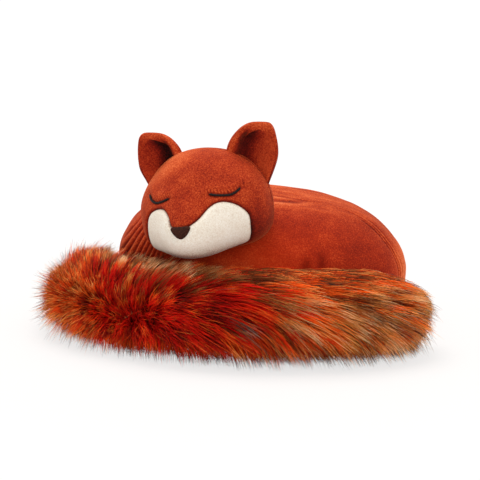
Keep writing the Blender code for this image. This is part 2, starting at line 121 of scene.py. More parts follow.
# Rays that show the backdrop: straight from the camera, or by way of gloss and glass
def seenRays(tree):
    path = tree.nodes.new("ShaderNodeLightPath")
    seen = path.outputs["Is Camera Ray"]
    for name in ("Is Glossy Ray", "Is Transmission Ray"):
        seen = addMath(tree, "MAXIMUM", seen, path.outputs[name])
    return seen


def addWorld():
    world = bpy.data.worlds.new("studio")
    bpy.context.scene.world = world
    world.use_nodes = True
    nodes = world.node_tree.nodes
    links = world.node_tree.links
    light = nodes["Background"]
    light.inputs["Color"].default_value = (*studio["worldTint"], 1)
    light.inputs["Strength"].default_value = studio["worldStrength"]
    white = nodes.new("ShaderNodeBackground")
    white.inputs["Color"].default_value = (1, 1, 1, 1)
    white.inputs["Strength"].default_value = 1
    mix = nodes.new("ShaderNodeMixShader")
    links.new(seenRays(world.node_tree), mix.inputs["Fac"])
    links.new(light.outputs["Background"], mix.inputs[1])
    links.new(white.outputs["Background"], mix.inputs[2])
    links.new(mix.outputs["Shader"], nodes["World Output"].inputs["Surface"])


# Paper that takes the object's shadow near it and turns plain white further out
def floorMaterial():
    paper, tree, shader = newMaterial("floor_paper", 0.9)
    shader.inputs["Specular IOR Level"].default_value = 0.1
    shader.inputs["Emission Color"].default_value = (*studio["glowTint"], 1)
    seen = seenRays(tree)
    distance = tree.nodes.new("ShaderNodeVectorMath")
    distance.operation = "LENGTH"
    tree.links.new(tree.nodes.new("ShaderNodeTexCoord").outputs["Object"], distance.inputs[0])
    far = tree.nodes.new("ShaderNodeMapRange")
    far.interpolation_type = "SMOOTHSTEP"
    far.inputs["From Min"].default_value, far.inputs["From Max"].default_value = studio["shadowReach"]
    tree.links.new(distance.outputs["Value"], far.inputs["Value"])
    near = mixColours(tree, far.outputs["Result"], (*studio["floorSeen"], 1), (0, 0, 0, 1))
    colour = mixColours(tree, seen, (*studio["floorColour"], 1), near)
    tree.links.new(colour, shader.inputs["Base Color"])
    glow = addMath(tree, "MULTIPLY", far.outputs["Result"], studio["farGlow"] - studio["floorGlow"])
    glow = addMath(tree, "MULTIPLY", seen, addMath(tree, "ADD", glow, studio["floorGlow"]))
    tree.links.new(glow, shader.inputs["Emission Strength"])
    return paper


def addStudio():
    bpy.context.scene.view_settings.view_transform = "Standard"
    addWorld()
    for name, values in studio["lights"].items():
        aimLight(name + "_light", *values)
    half = studio["floorSize"] / 2
    mesh = bpy.data.meshes.new("floor")
    corners = [(-half, -half, 0), (half, -half, 0), (half, half, 0), (-half, half, 0)]
    mesh.from_pydata(corners, [], [(0, 1, 2, 3)])
    mesh.materials.append(floorMaterial())
    addObject("floor", mesh)


# Small tools for colours, noise and meshes
def tint(red, green, blue):
    def level(value):
        share = value / 255
        return share / 12.92 if share <= 0.04045 else ((share + 0.055) / 1.055) ** 2.4
    return (level(red), level(green), level(blue), 1)


# Smooth random values from -1 to 1, with bumps about as wide as size
def softNoise(points, size, seed=0):
    place = np.asarray(points) / size + 37.0
    cell = np.floor(place)
    part = place - cell
    part = part * part * (3 - 2 * part)
    total = 0
    for corner in range(8):
        step = np.array([corner & 1, corner >> 1 & 1, corner >> 2 & 1])
        key = (cell + step) @ np.array([127.1, 311.7, 74.7]) + seed * 53.3
        value = np.sin(key) * 43758.5453
        value = (value - np.floor(value)) * 2 - 1
        weight = np.prod(np.where(step == 1, part, 1 - part), axis=-1)
        total = total + weight * value
    return total


def smoothRamp(value, low, high):
    share = np.clip((value - low) / (high - low), 0, 1)
    return share * share * (3 - 2 * share)


def bump(value, middle, width):
    return np.exp(-((value - middle) / width) ** 2)


def signedPower(value, power):
    return np.sign(value) * np.abs(value) ** power


# Angles spread evenly around a ring
def ringAngles(count):
    return np.arange(count) * 2 * math.pi / count


# An angle from -pi to pi
def wrapped(turn):
    return (turn + math.pi) % (2 * math.pi) - math.pi


def unit(vectors):
    return vectors / np.maximum(np.linalg.norm(vectors, axis=-1, keepdims=True), 1e-12)


# How a skin runs at the places given: around it and along it
def skinSlopes(skin, around, along, *rest):
    across = skin(around + smallStep, along, *rest) - skin(around - smallStep, along, *rest)
    return across, skin(around, along + smallStep, *rest) - skin(around, along - smallStep, *rest)


# Normals of a grid of points: rows down, columns around
def gridNormals(grid, closed=True):
    if closed:
        across = np.roll(grid, -1, axis=1) - np.roll(grid, 1, axis=1)
    else:
        across = np.gradient(grid, axis=1)
    along = np.gradient(grid, axis=0)
    normals = unit(np.cross(across, along))
    middle = grid.reshape(-1, 3).mean(axis=0)
    facing = np.sum(normals * (grid - middle), axis=-1).mean()
    return normals if facing > 0 else -normals


# A mesh with its faces turned outwards
def addMesh(name, vertices, faces):
    mesh = bpy.data.meshes.new(name)
    mesh.from_pydata(np.asarray(vertices).tolist(), [], faces)
    work = bmesh.new()
    work.from_mesh(mesh)
    bmesh.ops.recalc_face_normals(work, faces=work.faces)
    work.to_mesh(mesh)
    work.free()
    mesh.shade_smooth()
    return mesh


# Quads of a closed stack of rings with a pole at each end
def ringFaces(rows, columns):
    faces = []
    for row in range(rows - 1):
        start = row * columns
        for column in range(columns):
            following = (column + 1) % columns
            near, far = start + column, start + following
            faces.append((near, far, far + columns, near + columns))
    first = rows * columns
    last = (rows - 1) * columns
    for column in range(columns):
        following = (column + 1) % columns
        faces.append((first, following, column))
        faces.append((first + 1, last + column, last + following))
    return faces


# A closed skin over rings of points. Values below 0 paint shade on its cloth and values above 0 paint light
# on it; warmths redden it
def closeRings(name, grid, material, paintedShading=None, warmths=None):
    rows, columns = grid.shape[:2]
    vertices = np.vstack([grid.reshape(-1, 3), grid[0].mean(axis=0), grid[-1].mean(axis=0)])
    mesh = addMesh(name, vertices, ringFaces(rows, columns))
    mesh.materials.append(material)
    for key, levels in (("shade", paintedShading), ("warmth", warmths)):
        if levels is not None:
            values = np.concatenate([np.ravel(levels), [np.mean(levels[0]), np.mean(levels[-1])]])
            layer = mesh.attributes.new(key, "FLOAT", "POINT")
            layer.data.foreach_set("value", np.clip(values, -1, 1).astype(np.float32))
    return addObject(name, mesh)


# Cuts a closed skin with a plane and keeps the side that the normal points away from, closed with a flat wall
def keepSide(item, name, point, normal):
    work = bmesh.new()
    work.from_mesh(item.data)
    everything = work.verts[:] + work.edges[:] + work.faces[:]
    cutting = bmesh.ops.bisect_plane(work, geom=everything, plane_co=Vector(point), plane_no=Vector(normal),
                                     clear_outer=True, dist=1e-6)
    rim = [part for part in cutting["geom_cut"] if isinstance(part, bmesh.types.BMEdge)]
    bmesh.ops.edgenet_fill(work, edges=rim)
    bmesh.ops.recalc_face_normals(work, faces=work.faces)
    mesh = bpy.data.meshes.new(name)
    work.to_mesh(mesh)
    work.free()
    mesh.shade_smooth()
    mesh.materials.append(item.data.materials[0])
    return addObject(name, mesh)


# How far a point is outside a skin, with the nearest place on it and the normal there
def overSkin(tree, point):
    near, normal, _, _ = tree.find_nearest(Vector(point))
    return (Vector(point) - near).dot(normal), near, normal


# Two pieces of one skin, a hair's breadth apart at the seam between them
def splitAtSeam(whole, seam, backwards, frontName, backName):
    front = keepSide(whole, frontName, seam - backwards * seamGap, backwards)
    back = keepSide(whole, backName, seam + backwards * seamGap, -backwards)
    return front, back


# Attaches a piece to the body it moves with and hides the nodes that it stands for; its slot and how full it
# is are not used
def dress(piece, body, slot, fill, *nodes):
    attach(piece, body)
    if nodes:
        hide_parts(*nodes)


def dropItem(item):
    mesh = item.data
    bpy.data.objects.remove(item, do_unlink=True)
    bpy.data.meshes.remove(mesh)


def treeOf(items):
    points = []
    faces = []
    for item in items:
        start = len(points)
        points += [vertex.co.copy() for vertex in item.data.vertices]
        faces += [tuple(start + index for index in face.vertices) for face in item.data.polygons]
    return BVHTree.FromPolygons(points, faces)


# A place on a smooth curve between b and c, with a before and d after them
def splinePoint(a, b, c, d, part):
    return 0.5 * (2 * b + (c - a) * part + (2 * a - 5 * b + 4 * c - d) * part ** 2
                  + (3 * b - a - 3 * c + d) * part ** 3)


def closedCurve(points, steps):
    table = np.vstack([points[-1:], points, points[:2]])
    return np.array([splinePoint(*table[index:index + 4], step / steps)
                     for index in range(len(points)) for step in range(steps)])


# Points with one more at each end, for a curve that runs through all of them
def withEnds(points):
    return np.vstack([2 * points[0] - points[1], points, 2 * points[-1] - points[-2]])


def openCurve(points, steps):
    table = withEnds(points)
    fine = [splinePoint(*table[index:index + 4], step / steps)
            for index in range(len(points) - 1) for step in range(steps)]
    return np.array(fine + [points[-1]])


# Distance from places to a line of points, both in one plane
def lineDistance(places, line, closed=True):
    ends = np.roll(line, -1, axis=0) if closed else line[1:]
    starts = line if closed else line[:-1]
    best = np.full(len(places), np.inf)
    for start, end in zip(starts, ends):
        run = end - start
        share = np.clip((places - start) @ run / (run @ run), 0, 1)
        gap = places - start - share[:, None] * run
        best = np.minimum(best, np.hypot(gap[:, 0], gap[:, 1]))
    return best


def insideOutline(places, outline):
    inside = np.zeros(len(places), bool)
    for start, end in zip(outline, np.roll(outline, -1, axis=0)):
        crosses = (start[1] > places[:, 1]) != (end[1] > places[:, 1])
        rise = end[1] - start[1] if end[1] != start[1] else 1e-12
        edge = start[0] + (places[:, 1] - start[1]) * (end[0] - start[0]) / rise
        inside ^= crosses & (places[:, 0] < edge)
    return inside


# Materials: short plush, suede, thread, long fur
def newMaterial(name, roughness):
    material = bpy.data.materials.new(name)
    material.use_nodes = True
    tree = material.node_tree
    shader = tree.nodes["Principled BSDF"]
    shader.inputs["Roughness"].default_value = roughness
    shader.inputs["Metallic"].default_value = 0
    return material, tree, shader


def addNoise(tree, where, scale, detail, roughness):
    node = tree.nodes.new("ShaderNodeTexNoise")
    for name, value in (("Scale", scale), ("Detail", detail), ("Roughness", roughness)):
        node.inputs[name].default_value = value
    tree.links.new(where, node.inputs["Vector"])
    return node.outputs["Fac"]


def addRamp(tree, value, stops, change="EASE"):
    node = tree.nodes.new("ShaderNodeValToRGB")
    node.color_ramp.interpolation = change
    band = node.color_ramp.elements
    band[0].position, band[0].color = stops[0]
    band[1].position, band[1].color = stops[-1]
    for position, colour in stops[1:-1]:
        band.new(position).color = colour
    tree.links.new(value, node.inputs["Fac"])
    return node.outputs["Color"]


# Values and sockets go in alike: a value is written on the node, a socket is linked
def addMath(tree, operation, first, second):
    node = tree.nodes.new("ShaderNodeMath")
    node.operation = operation
    for socket, value in zip(node.inputs, (first, second)):
        if isinstance(value, (int, float)):
            socket.default_value = value
        else:
            tree.links.new(value, socket)
    return node.outputs["Value"]


# Adds up noises, each with its weight
def addWeighted(tree, parts):
    total = None
    for value, weight in parts:
        part = addMath(tree, "MULTIPLY", value, weight)
        total = part if total is None else addMath(tree, "ADD", total, part)
    return total


def colourSockets(sockets):
    return [socket for socket in sockets if socket.type == "RGBA"]


def mixColours(tree, share, first, second, blend="MIX"):
    node = tree.nodes.new("ShaderNodeMix")
    node.data_type = "RGBA"
    node.blend_type = blend
    for socket, value in zip([node.inputs[0], *colourSockets(node.inputs)], (share, first, second)):
        if isinstance(value, (int, float, tuple)):
            socket.default_value = value
        else:
            tree.links.new(value, socket)
    return colourSockets(node.outputs)[0]


def addAttribute(tree, name):
    node = tree.nodes.new("ShaderNodeAttribute")
    node.attribute_name = name
    return node.outputs["Fac"]


def addBump(tree, shader, height, strength, distance):
    node = tree.nodes.new("ShaderNodeBump")
    node.inputs["Strength"].default_value = strength
    node.inputs["Distance"].default_value = distance
    tree.links.new(height, node.inputs["Height"])
    tree.links.new(node.outputs["Normal"], shader.inputs["Normal"])


# Short brushed plush: patches where the pile lies the other way, fine tufts and a soft sheen
plush = {
    "patches": (75, 2.0, 0.5),  # scale, detail and roughness of each noise
    "tufts": (860, 2.5, 0.6),
    "grain": (2100, 2.0, 0.6),
    "roughness": 0.9,
    "shine": 0.15,
    "sheenRoughness": 0.36,
    "warmTint": tint(226, 56, 8),
}


# Five tints from deep to bright, at the levels given, and the sheen's tint and weight
def plushMaterial(name, tints, sheenTint, sheenWeight, tuftBump=0.0009):
    material, tree, shader = newMaterial(name, plush["roughness"])
    where = tree.nodes.new("ShaderNodeTexCoord").outputs["Object"]
    patches, tufts, grain = (addNoise(tree, where, *plush[key]) for key in ("patches", "tufts", "grain"))
    blend = addWeighted(tree, ((patches, 0.22), (tufts, 0.52), (grain, 0.50)))
    blend = addMath(tree, "SUBTRACT", blend, 0.12)
    # Painted light and shade: the shade attribute moves the colour towards the deep tints below 0 and the
    # bright ones above
    blend = addMath(tree, "ADD", blend, addMath(tree, "MULTIPLY", addAttribute(tree, "shade"), 0.36))
    colour = addRamp(tree, blend, list(zip((0.12, 0.36, 0.50, 0.64, 0.88), tints)), "LINEAR")
    # Painted reflection: the warmth attribute mixes in a red tint where the fur throws red light, and a
    # little over the body's front
    colour = mixColours(tree, addAttribute(tree, "warmth"), colour, plush["warmTint"])
    tree.links.new(colour, shader.inputs["Base Color"])
    addBump(tree, shader, addWeighted(tree, ((tufts, 0.6), (grain, 0.4))), 0.4, tuftBump)
    for key, value in (("Specular IOR Level", plush["shine"]), ("Sheen Weight", sheenWeight),
                       ("Sheen Roughness", plush["sheenRoughness"]), ("Sheen Tint", sheenTint)):
        shader.inputs[key].default_value = value
    return material


# The deep and bright ends of each ramp are mostly reached where painted shade or painted light is laid on
rustTints = (tint(40, 4, 2), tint(118, 24, 8), tint(166, 46, 15), tint(206, 84, 38), tint(250, 146, 92))
# The lining's tints are a darker copy of the rust ones, as painted shade in the ear's hollow
shadedLiningTints = (tint(30, 2, 1), tint(92, 12, 4), tint(134, 27, 8), tint(172, 54, 22), tint(216, 86, 40))
# The cream's deepest tint is the pinkish brown of the painted shade at the chin
creamTints = (tint(164, 90, 64), tint(231, 216, 196), tint(243, 233, 216), tint(253, 247, 236),
              tint(255, 253, 248))
rustPlush = plushMaterial("rust_plush", rustTints, tint(255, 140, 80), 0.30)
earPlush = plushMaterial("ear_lining_plush", shadedLiningTints, tint(240, 108, 56), 0.11)
creamPlush = plushMaterial("cream_plush", creamTints, tint(255, 250, 240), 0.25, 0.0008)


# Suede, thread and knitted cloth: one fine grain gives both the colour and the height
def grainMaterial(name, roughness, scale, detail, coarse, stops, strength, distance, shine):
    material, tree, shader = newMaterial(name, roughness)
    where = tree.nodes.new("ShaderNodeTexCoord").outputs["Object"]
    grain = addNoise(tree, where, scale, detail, coarse)
    tree.links.new(addRamp(tree, grain, stops), shader.inputs["Base Color"])
    addBump(tree, shader, grain, strength, distance)
    shader.inputs["Specular IOR Level"].default_value = shine
    return material


noseSuede = grainMaterial("nose_suede", 0.75, 900, 4, 0.7,
                          [(0.35, tint(38, 16, 9)), (0.55, tint(58, 28, 17)), (0.72, tint(84, 46, 30))],
                          0.5, 0.0004, 0.12)
eyeThread = grainMaterial("eye_thread", 0.55, 2200, 3, 0.6,
                          [(0.35, tint(10, 5, 4)), (0.7, tint(34, 19, 15))], 0.4, 0.0002, 0.15)
pileBacking = grainMaterial("pile_backing", 0.95, 700, 3, 0.6,
                            [(0.35, tint(30, 5, 4)), (0.7, tint(78, 14, 9))], 0.5, 0.0006, 0.5)
print("materials mixed")

# Body: a loaf, fuller at its left shoulder
bodyShape = {
    "centre": (0.019, 0.040),
    "halfWidth": 0.1215,
    "halfDepthFront": 0.089,
    "halfDepthBack": 0.078,
    "widestHeight": 0.045,
    "domeHeight": 0.068,
    "planPower": 2.3,
    "rightPower": 1.86,
    "leftPower": 2.7,
    "baseShare": 0.80,
    "tuckAngle": math.radians(70),
    "seamY": 0.030,
    "seamSlant": 0.194,
    "baseHeight": 0.0016,
    "around": 560,
    "domeRows": 120,
    "tuckRows": 46,
}


def bodySkin(around, down):
    size = bodyShape
    planShare = 2 / size["planPower"]
    cosine = signedPower(np.cos(around), planShare)
    sine = signedPower(np.sin(around), planShare)
    power = size["rightPower"] + (size["leftPower"] - size["rightPower"]) * (1 - cosine) / 2
    halfDepth = np.where(sine < 0, size["halfDepthFront"], size["halfDepthBack"])
    dome = np.clip(down, 0, 1) * math.pi / 2
    tuck = np.clip(down - 1, 0, 1) * size["tuckAngle"]
    domeReach = np.abs(np.sin(dome)) ** (2 / power)
    tuckReach = size["baseShare"] + (1 - size["baseShare"]) * np.cos(tuck)
    reach = np.where(down < 1, domeReach, tuckReach)
    domeHeight = size["widestHeight"] + size["domeHeight"] * np.abs(np.cos(dome)) ** (2 / power)
    tuckHeight = size["widestHeight"] * (1 - np.sin(tuck) / math.sin(size["tuckAngle"]))
    height = np.where(down < 1, domeHeight, tuckHeight)
    x = size["centre"][0] + size["halfWidth"] * cosine * reach
    y = size["centre"][1] + halfDepth * sine * reach
    return np.stack([x, y, height], axis=-1) + partShift


# The seam between front and back runs slanted over the body: a place on it and the way towards the back
def bodySeam():
    slant = bodyShape["seamSlant"]
    place = np.array([bodyShape["centre"][0], bodyShape["seamY"], 0]) + partShift
    return place, np.array([slant, 1, 0]) / math.hypot(slant, 1)


# Raised and pressed places of the body's cloth, in metres
bodyRelief = {
    "lumps": 0.0011,
    "lumpSizes": (0.045, 0.016),
    "crestRise": 0.0032,
    "gatherFocus": (-0.038, 0.137),
    "gatherStep": 0.049,
    "gatherDepth": 0.0024,
    "streakStep": 0.0042,
    "streakDepth": 0.00035,
    "tuckPlaces": ((0.0565, 0.060), (0.0690, 0.061)),
    "tuckSize": (0.0032, 0.0085),
    "tuckDepth": 0.0026,
    "foldHeight": 0.1090,
    "foldDepth": 0.0010,
    "seamDepth": 0.0016,
    "seamWidth": 0.0013,
    "seamLines": ((0, 0.35), (-0.0045, 1.0), (-0.0085, 0.8)),
}


# Lumps of filling; the crest swells at the right and sags behind the head
def addLumps(height, shade, points, normals):
    size = bodyRelief
    x, y, z = points[..., 0], points[..., 1], points[..., 2]
    broad, fine = size["lumpSizes"]
    height = size["lumps"] * softNoise(points, broad, 1) + size["lumps"] * 0.4 * softNoise(points, fine, 2)
    crest = bump(y, 0.030, 0.035) * smoothRamp(z, 0.07, 0.10)
    rise = size["crestRise"]
    return height + crest * (rise * bump(x, 0.117, 0.020) - rise * bump(x, 0.050, 0.028)), shade


# Gathers that run towards the neck, at the left shoulder, with painted shade in their creases and painted
# light on their ridges
def addGathers(height, shade, points, normals):
    size = bodyRelief
    x, y, z = points[..., 0], points[..., 1], points[..., 2]
    focusX, focusZ = size["gatherFocus"]
    turn = np.arctan2(z - focusZ, x - focusX) + 0.012 * softNoise(points, 0.02, 3)
    gather = np.abs(np.cos(math.pi * turn / size["gatherStep"]))
    zone = smoothRamp(-x, 0.050, 0.066) * smoothRamp(-y, -0.036, -0.008) * smoothRamp(z, 0.020, 0.045)
    height = height + (np.sqrt(gather) - 0.7) * size["gatherDepth"] * 1.6 * zone
    return height, shade + zone * (0.30 * gather ** 2 - 0.95 * (1 - gather) ** 2)


# Pulled streaks along the top of the back, and streaked painted light where the top faces up
def addStreaks(height, shade, points, normals):
    size = bodyRelief
    x, y, z = points[..., 0], points[..., 1], points[..., 2]
    streak = softNoise(np.stack([x * 0.12, y, z * 0.05], axis=-1), size["streakStep"], 5)
    zone = smoothRamp(x, 0.010, 0.045) * smoothRamp(y, -0.010, 0.012) * smoothRamp(z, 0.03, 0.06)
    paintedTopLight = smoothRamp(normals[..., 2], 0.80, 0.99) * smoothRamp(x, -0.01, 0.03)
    return height + streak * size["streakDepth"] * zone, shade + paintedTopLight * (0.22 + 0.30 * streak)


# Two tucks in front, and the fold beside the head: painted shade in the tucks and in the fold, and a painted
# highlight on the cloth just below the fold
def addTucks(height, shade, points, normals):
    size = bodyRelief
    x, y, z = points[..., 0], points[..., 1], points[..., 2]
    wide, high = size["tuckSize"]
    for tuckX, tuckZ in size["tuckPlaces"]:
        press = bump(x, tuckX, wide) * bump(z, tuckZ, high) * smoothRamp(-y, 0.0, 0.02)
        height = height - size["tuckDepth"] * press
        shade = shade - 0.36 * press
    line = z - size["foldHeight"] + 0.06 * np.clip(x - 0.035, 0, 1)
    zone = smoothRamp(-x, -0.068, -0.050) * smoothRamp(x, 0.024, 0.032) * smoothRamp(-y, -0.035, -0.02)
    height = height - size["foldDepth"] * bump(line, 0, 0.0011) * zone
    return height, shade + zone * (0.25 * bump(line, -0.0020, 0.0009) - 0.45 * bump(line, 0, 0.0008))


# Painted light and shade on the body's front: painted light under the cheek, where the head shades it,
# painted shade over the rest of the front, deepest towards the right, and a painted highlight on the right
# end where it faces right
def addPaintedLight(height, shade, points, normals):
    x, z = points[..., 0], points[..., 2]
    front = smoothRamp(-normals[..., 1], 0.2, 0.7)
    shade = shade + front * (-0.07 + 0.44 * bump(x, 0.004, 0.026) * smoothRamp(-z, -0.080, -0.060)
                             - 0.05 * smoothRamp(x, 0.030, 0.060) - 0.16 * smoothRamp(x, 0.080, 0.105)
                             - 0.12 * bump(x, 0.046, 0.030) * bump(z, 0.096, 0.014))
    return height, shade + 0.55 * smoothRamp(normals[..., 0], 0.68, 0.95) * smoothRamp(x, 0.08, 0.12)


# The seam between front and back, with a line of stitches on each side, fainter over the crest. Each line is
# pressed in with painted shade in it and a painted highlight just behind it
def addSeam(height, shade, points, normals):
    size = bodyRelief
    seam, backwards = bodySeam()
    behind = (points - seam) @ backwards
    shown = 0.30 + 0.70 * smoothRamp(-points[..., 2], -0.098, -0.080)
    dark = 0
    for place, deep in size["seamLines"]:
        height = height - size["seamDepth"] * deep * bump(behind, place, size["seamWidth"]) * shown
        dark = dark + 0.8 * deep * bump(behind, place, 0.0010)
        dark = dark - 0.30 * deep * bump(behind, place + 0.0019, 0.0010)
    return height, shade - dark * shown


# How far each place is raised, and how much painted light or painted shade its cloth gets
def bodyHeights(points, normals):
    height, shade = 0, 0
    for add in (addLumps, addGathers, addStreaks, addTucks, addPaintedLight, addSeam):
        height, shade = add(height, shade, points, normals)
    return height, shade


def buildBody():
    size = bodyShape
    around = ringAngles(size["around"])
    domes = np.linspace(0.012, 1, size["domeRows"])
    tucks = np.linspace(1, 2, size["tuckRows"])[1:]
    aroundGrid, downGrid = np.meshgrid(around, np.concatenate([domes, tucks]))
    grid = bodySkin(aroundGrid, downGrid)
    normals = gridNormals(grid)
    rise, paintedShading = bodyHeights(grid, normals)
    grid = grid + normals * (rise * smoothRamp(grid[..., 2], 0.0, 0.012))[..., None]
    grid[..., 2] = np.maximum(grid[..., 2], bodyShape["baseHeight"])
    # Painted reflection: red light thrown from the fur onto the body under the cheek, over a slightly redder
    # front
    paintedFurGlow = bump(grid[..., 0], 0.018, 0.042) * bump(grid[..., 2], 0.062, 0.026)
    warmths = smoothRamp(-normals[..., 1], 0.2, 0.7) * (0.10 + 0.45 * paintedFurGlow)
    whole = closeRings("body_whole", grid, rustPlush, paintedShading, warmths)
    return whole, *splitAtSeam(whole, *bodySeam(), "body_front_plush", "body_back_plush")


bodyWhole, bodyFront, bodyBack = buildBody()
bodyTree = treeOf([bodyWhole])
dress(bodyFront, "body", "rust_plush", 0.7, "body_front_cover", "body_filling", "bean_bag")
dress(bodyBack, "body", "rust_plush", 0.7, "body_back_cover")
dropItem(bodyWhole)
print("body sewn")


# Base panel: a flat oval of plush with a rounded edge, under the body
baseShape = {
    "around": 160,
    "inset": 0.985,
    # How far out each ring lies as a share of the oval, and its height
    "rings": ((0.25, 0), (0.55, 0), (0.80, 0), (0.95, 0), (0.985, 0.0001), (1.0, 0.0004), (0.998, 0.0009),
              (0.98, 0.0012), (0.93, 0.0013), (0.70, 0.0013), (0.40, 0.0013), (0.15, 0.0013)),
}


def buildBase():
    size = baseShape
    around = ringAngles(size["around"])
    edge = bodySkin(around, np.full(size["around"], 2.0))
    middle = edge.mean(axis=0)
    rings = []
    for share, height in size["rings"]:
        ring = middle + (edge - middle) * share * size["inset"]
        ring[:, 2] = height
        rings.append(ring)
    return closeRings("base_panel_plush", np.array(rings), rustPlush)


dress(buildBase(), "body", "rust_plush", 0.3, "body_base_panel")
print("base panel laid")

# Head: squashed ball with a muzzle
headShape = {
    "centre": (-0.0268, -0.0340, 0.1120),
    "halfWidth": 0.0535,
    "halfDepth": 0.0440,
    "halfHeight": 0.0445,
    "topPower": 2.05,
    "cheekPower": 2.35,
    "cheekBlend": 0.3,
    "yaw": math.radians(18),
    "pitch": math.radians(6),
    "roll": math.radians(9),
    "seamBack": 0.004,
    "muzzleLength": 0.0170,
    "muzzleDrop": 0.20,
    "muzzleSpread": math.radians(27),
    "presses": [
        ((0.46, 0.28, -0.84), 0.0056, math.radians(25)),
        ((-0.05, 0.35, -0.94), 0.0022, math.radians(30)),
        ((-0.74, 0.22, 0.64), 0.0038, math.radians(24)),
        ((-0.80, 0.35, -0.48), -0.0024, math.radians(12)),
        ((-0.66, 0.30, -0.69), 0.0032, math.radians(15)),
        ((0.90, 0.12, -0.42), -0.0028, math.radians(22)),
    ],
    "around": 400,
    "rows": 200,
}


def headMatrix():
    size = headShape
    turn = Matrix.Rotation(-size["yaw"], 4, "Z")
    nod = Matrix.Rotation(size["pitch"], 4, "X")
    tilt = Matrix.Rotation(-size["roll"], 4, "Y")
    return Matrix.Translation(Vector(size["centre"]) + Vector(partShift)) @ turn @ nod @ tilt


headPlace = headMatrix()


def headLocal(around, polar):
    size = headShape
    right = np.sin(polar) * np.cos(around)
    forward = np.cos(polar)
    up = np.sin(polar) * np.sin(around)
    cheek = (1 - np.tanh(up / size["cheekBlend"])) / 2
    power = size["topPower"] + (size["cheekPower"] - size["topPower"]) * cheek
    total = (np.abs(right / size["halfWidth"]) ** power + np.abs(forward / size["halfDepth"]) ** power
             + np.abs(up / size["halfHeight"]) ** power)
    reach = total ** (-1 / power)
    tip = unit(np.array([0, 1, -size["muzzleDrop"]]))
    cosine = np.clip(forward * tip[1] + up * tip[2], -1, 1)
    reach = reach + size["muzzleLength"] * np.exp(-(np.arccos(cosine) / size["muzzleSpread"]) ** 2)
    for place, depth, width in size["presses"]:
        press = unit(np.array(place))
        cosine = np.clip(right * press[0] + forward * press[1] + up * press[2], -1, 1)
        reach = reach - depth * np.exp(-(np.arccos(cosine) / width) ** 2)
    return np.stack([right * reach, -forward * reach, up * reach], axis=-1)


def toWorld(points, matrix):
    table = np.array(matrix)
    return points @ table[:3, :3].T + table[:3, 3]


# Points of the head at places in the plane of the face, and their normals, in the head's own axes
def onFace(right, up):
    right, up = np.asarray(right, float), np.asarray(up, float)
    around = np.arctan2(up, right)
    wanted = np.hypot(right, up)
    low = np.zeros_like(wanted)
    high = np.full_like(wanted, math.pi / 2)
    for _ in range(36):
        middle = (low + high) / 2
        local = headLocal(around, middle)
        short = np.hypot(local[..., 0], local[..., 2]) < wanted
        low = np.where(short, middle, low)
        high = np.where(short, high, middle)
    polar = np.maximum((low + high) / 2, 1e-3)
    point = headLocal(around, polar)
    normal = unit(np.cross(*skinSlopes(headLocal, around, polar)))
    facing = np.sum(normal * point, axis=-1, keepdims=True)
    return point, normal * np.sign(facing)


# Face: patch outline, nose and eyes as shares of the head's half width and half height
face = {
    "patch": [
        (-0.70, 0.00), (-0.62, 0.12), (-0.49, 0.20), (-0.34, 0.22), (-0.24, 0.12), (-0.19, -0.04),
        (-0.03, -0.10), (0.11, -0.05), (0.25, 0.04), (0.37, 0.17), (0.48, 0.22), (0.60, 0.19), (0.73, 0.08),
        (0.83, -0.12), (0.815, -0.37), (0.765, -0.54), (0.68, -0.66), (0.48, -0.71), (0.12, -0.80),
        (-0.35, -0.835), (-0.66, -0.745), (-0.80, -0.62), (-0.80, -0.43), (-0.76, -0.20),
    ],
    "patchMiddle": (-0.10, -0.40),
    "nose": [
        (-0.80, 0.50), (0, 0.54), (0.80, 0.50), (1, 0.26), (0.60, -0.38), (0, -0.72), (-0.60, -0.38),
        (-1, 0.26),
    ],
    "noseSeat": (-0.02, -0.125),
    "noseHalfWidth": 0.0079,
    "noseHeight": 0.0074,
    "noseThickness": 0.0024,
    "eyeLeft": [(-0.63, 0.42), (-0.57, 0.34), (-0.47, 0.31), (-0.35, 0.34), (-0.23, 0.39)],
    "eyeRight": [(0.365, 0.38), (0.46, 0.34), (0.56, 0.31), (0.65, 0.295), (0.72, 0.325), (0.755, 0.36)],
    "threadRadius": 0.00072,
    "threadSides": 10,
    "threadFlatness": 1.25,
    "threadTwist": (0.12, 2.1),  # how much the thread swells and narrows, and how fast along its length
    "grooveDepth": 0.0017,
    "grooveWidth": 0.0013,
    "patchRise": 0.0006,
}
faceSize = np.array([headShape["halfWidth"], headShape["halfHeight"]])
patchLine = closedCurve(np.array(face["patch"]) * faceSize, 8)
eyeLines = {side: np.array(face["eye" + side]) * faceSize for side in ("Left", "Right")}


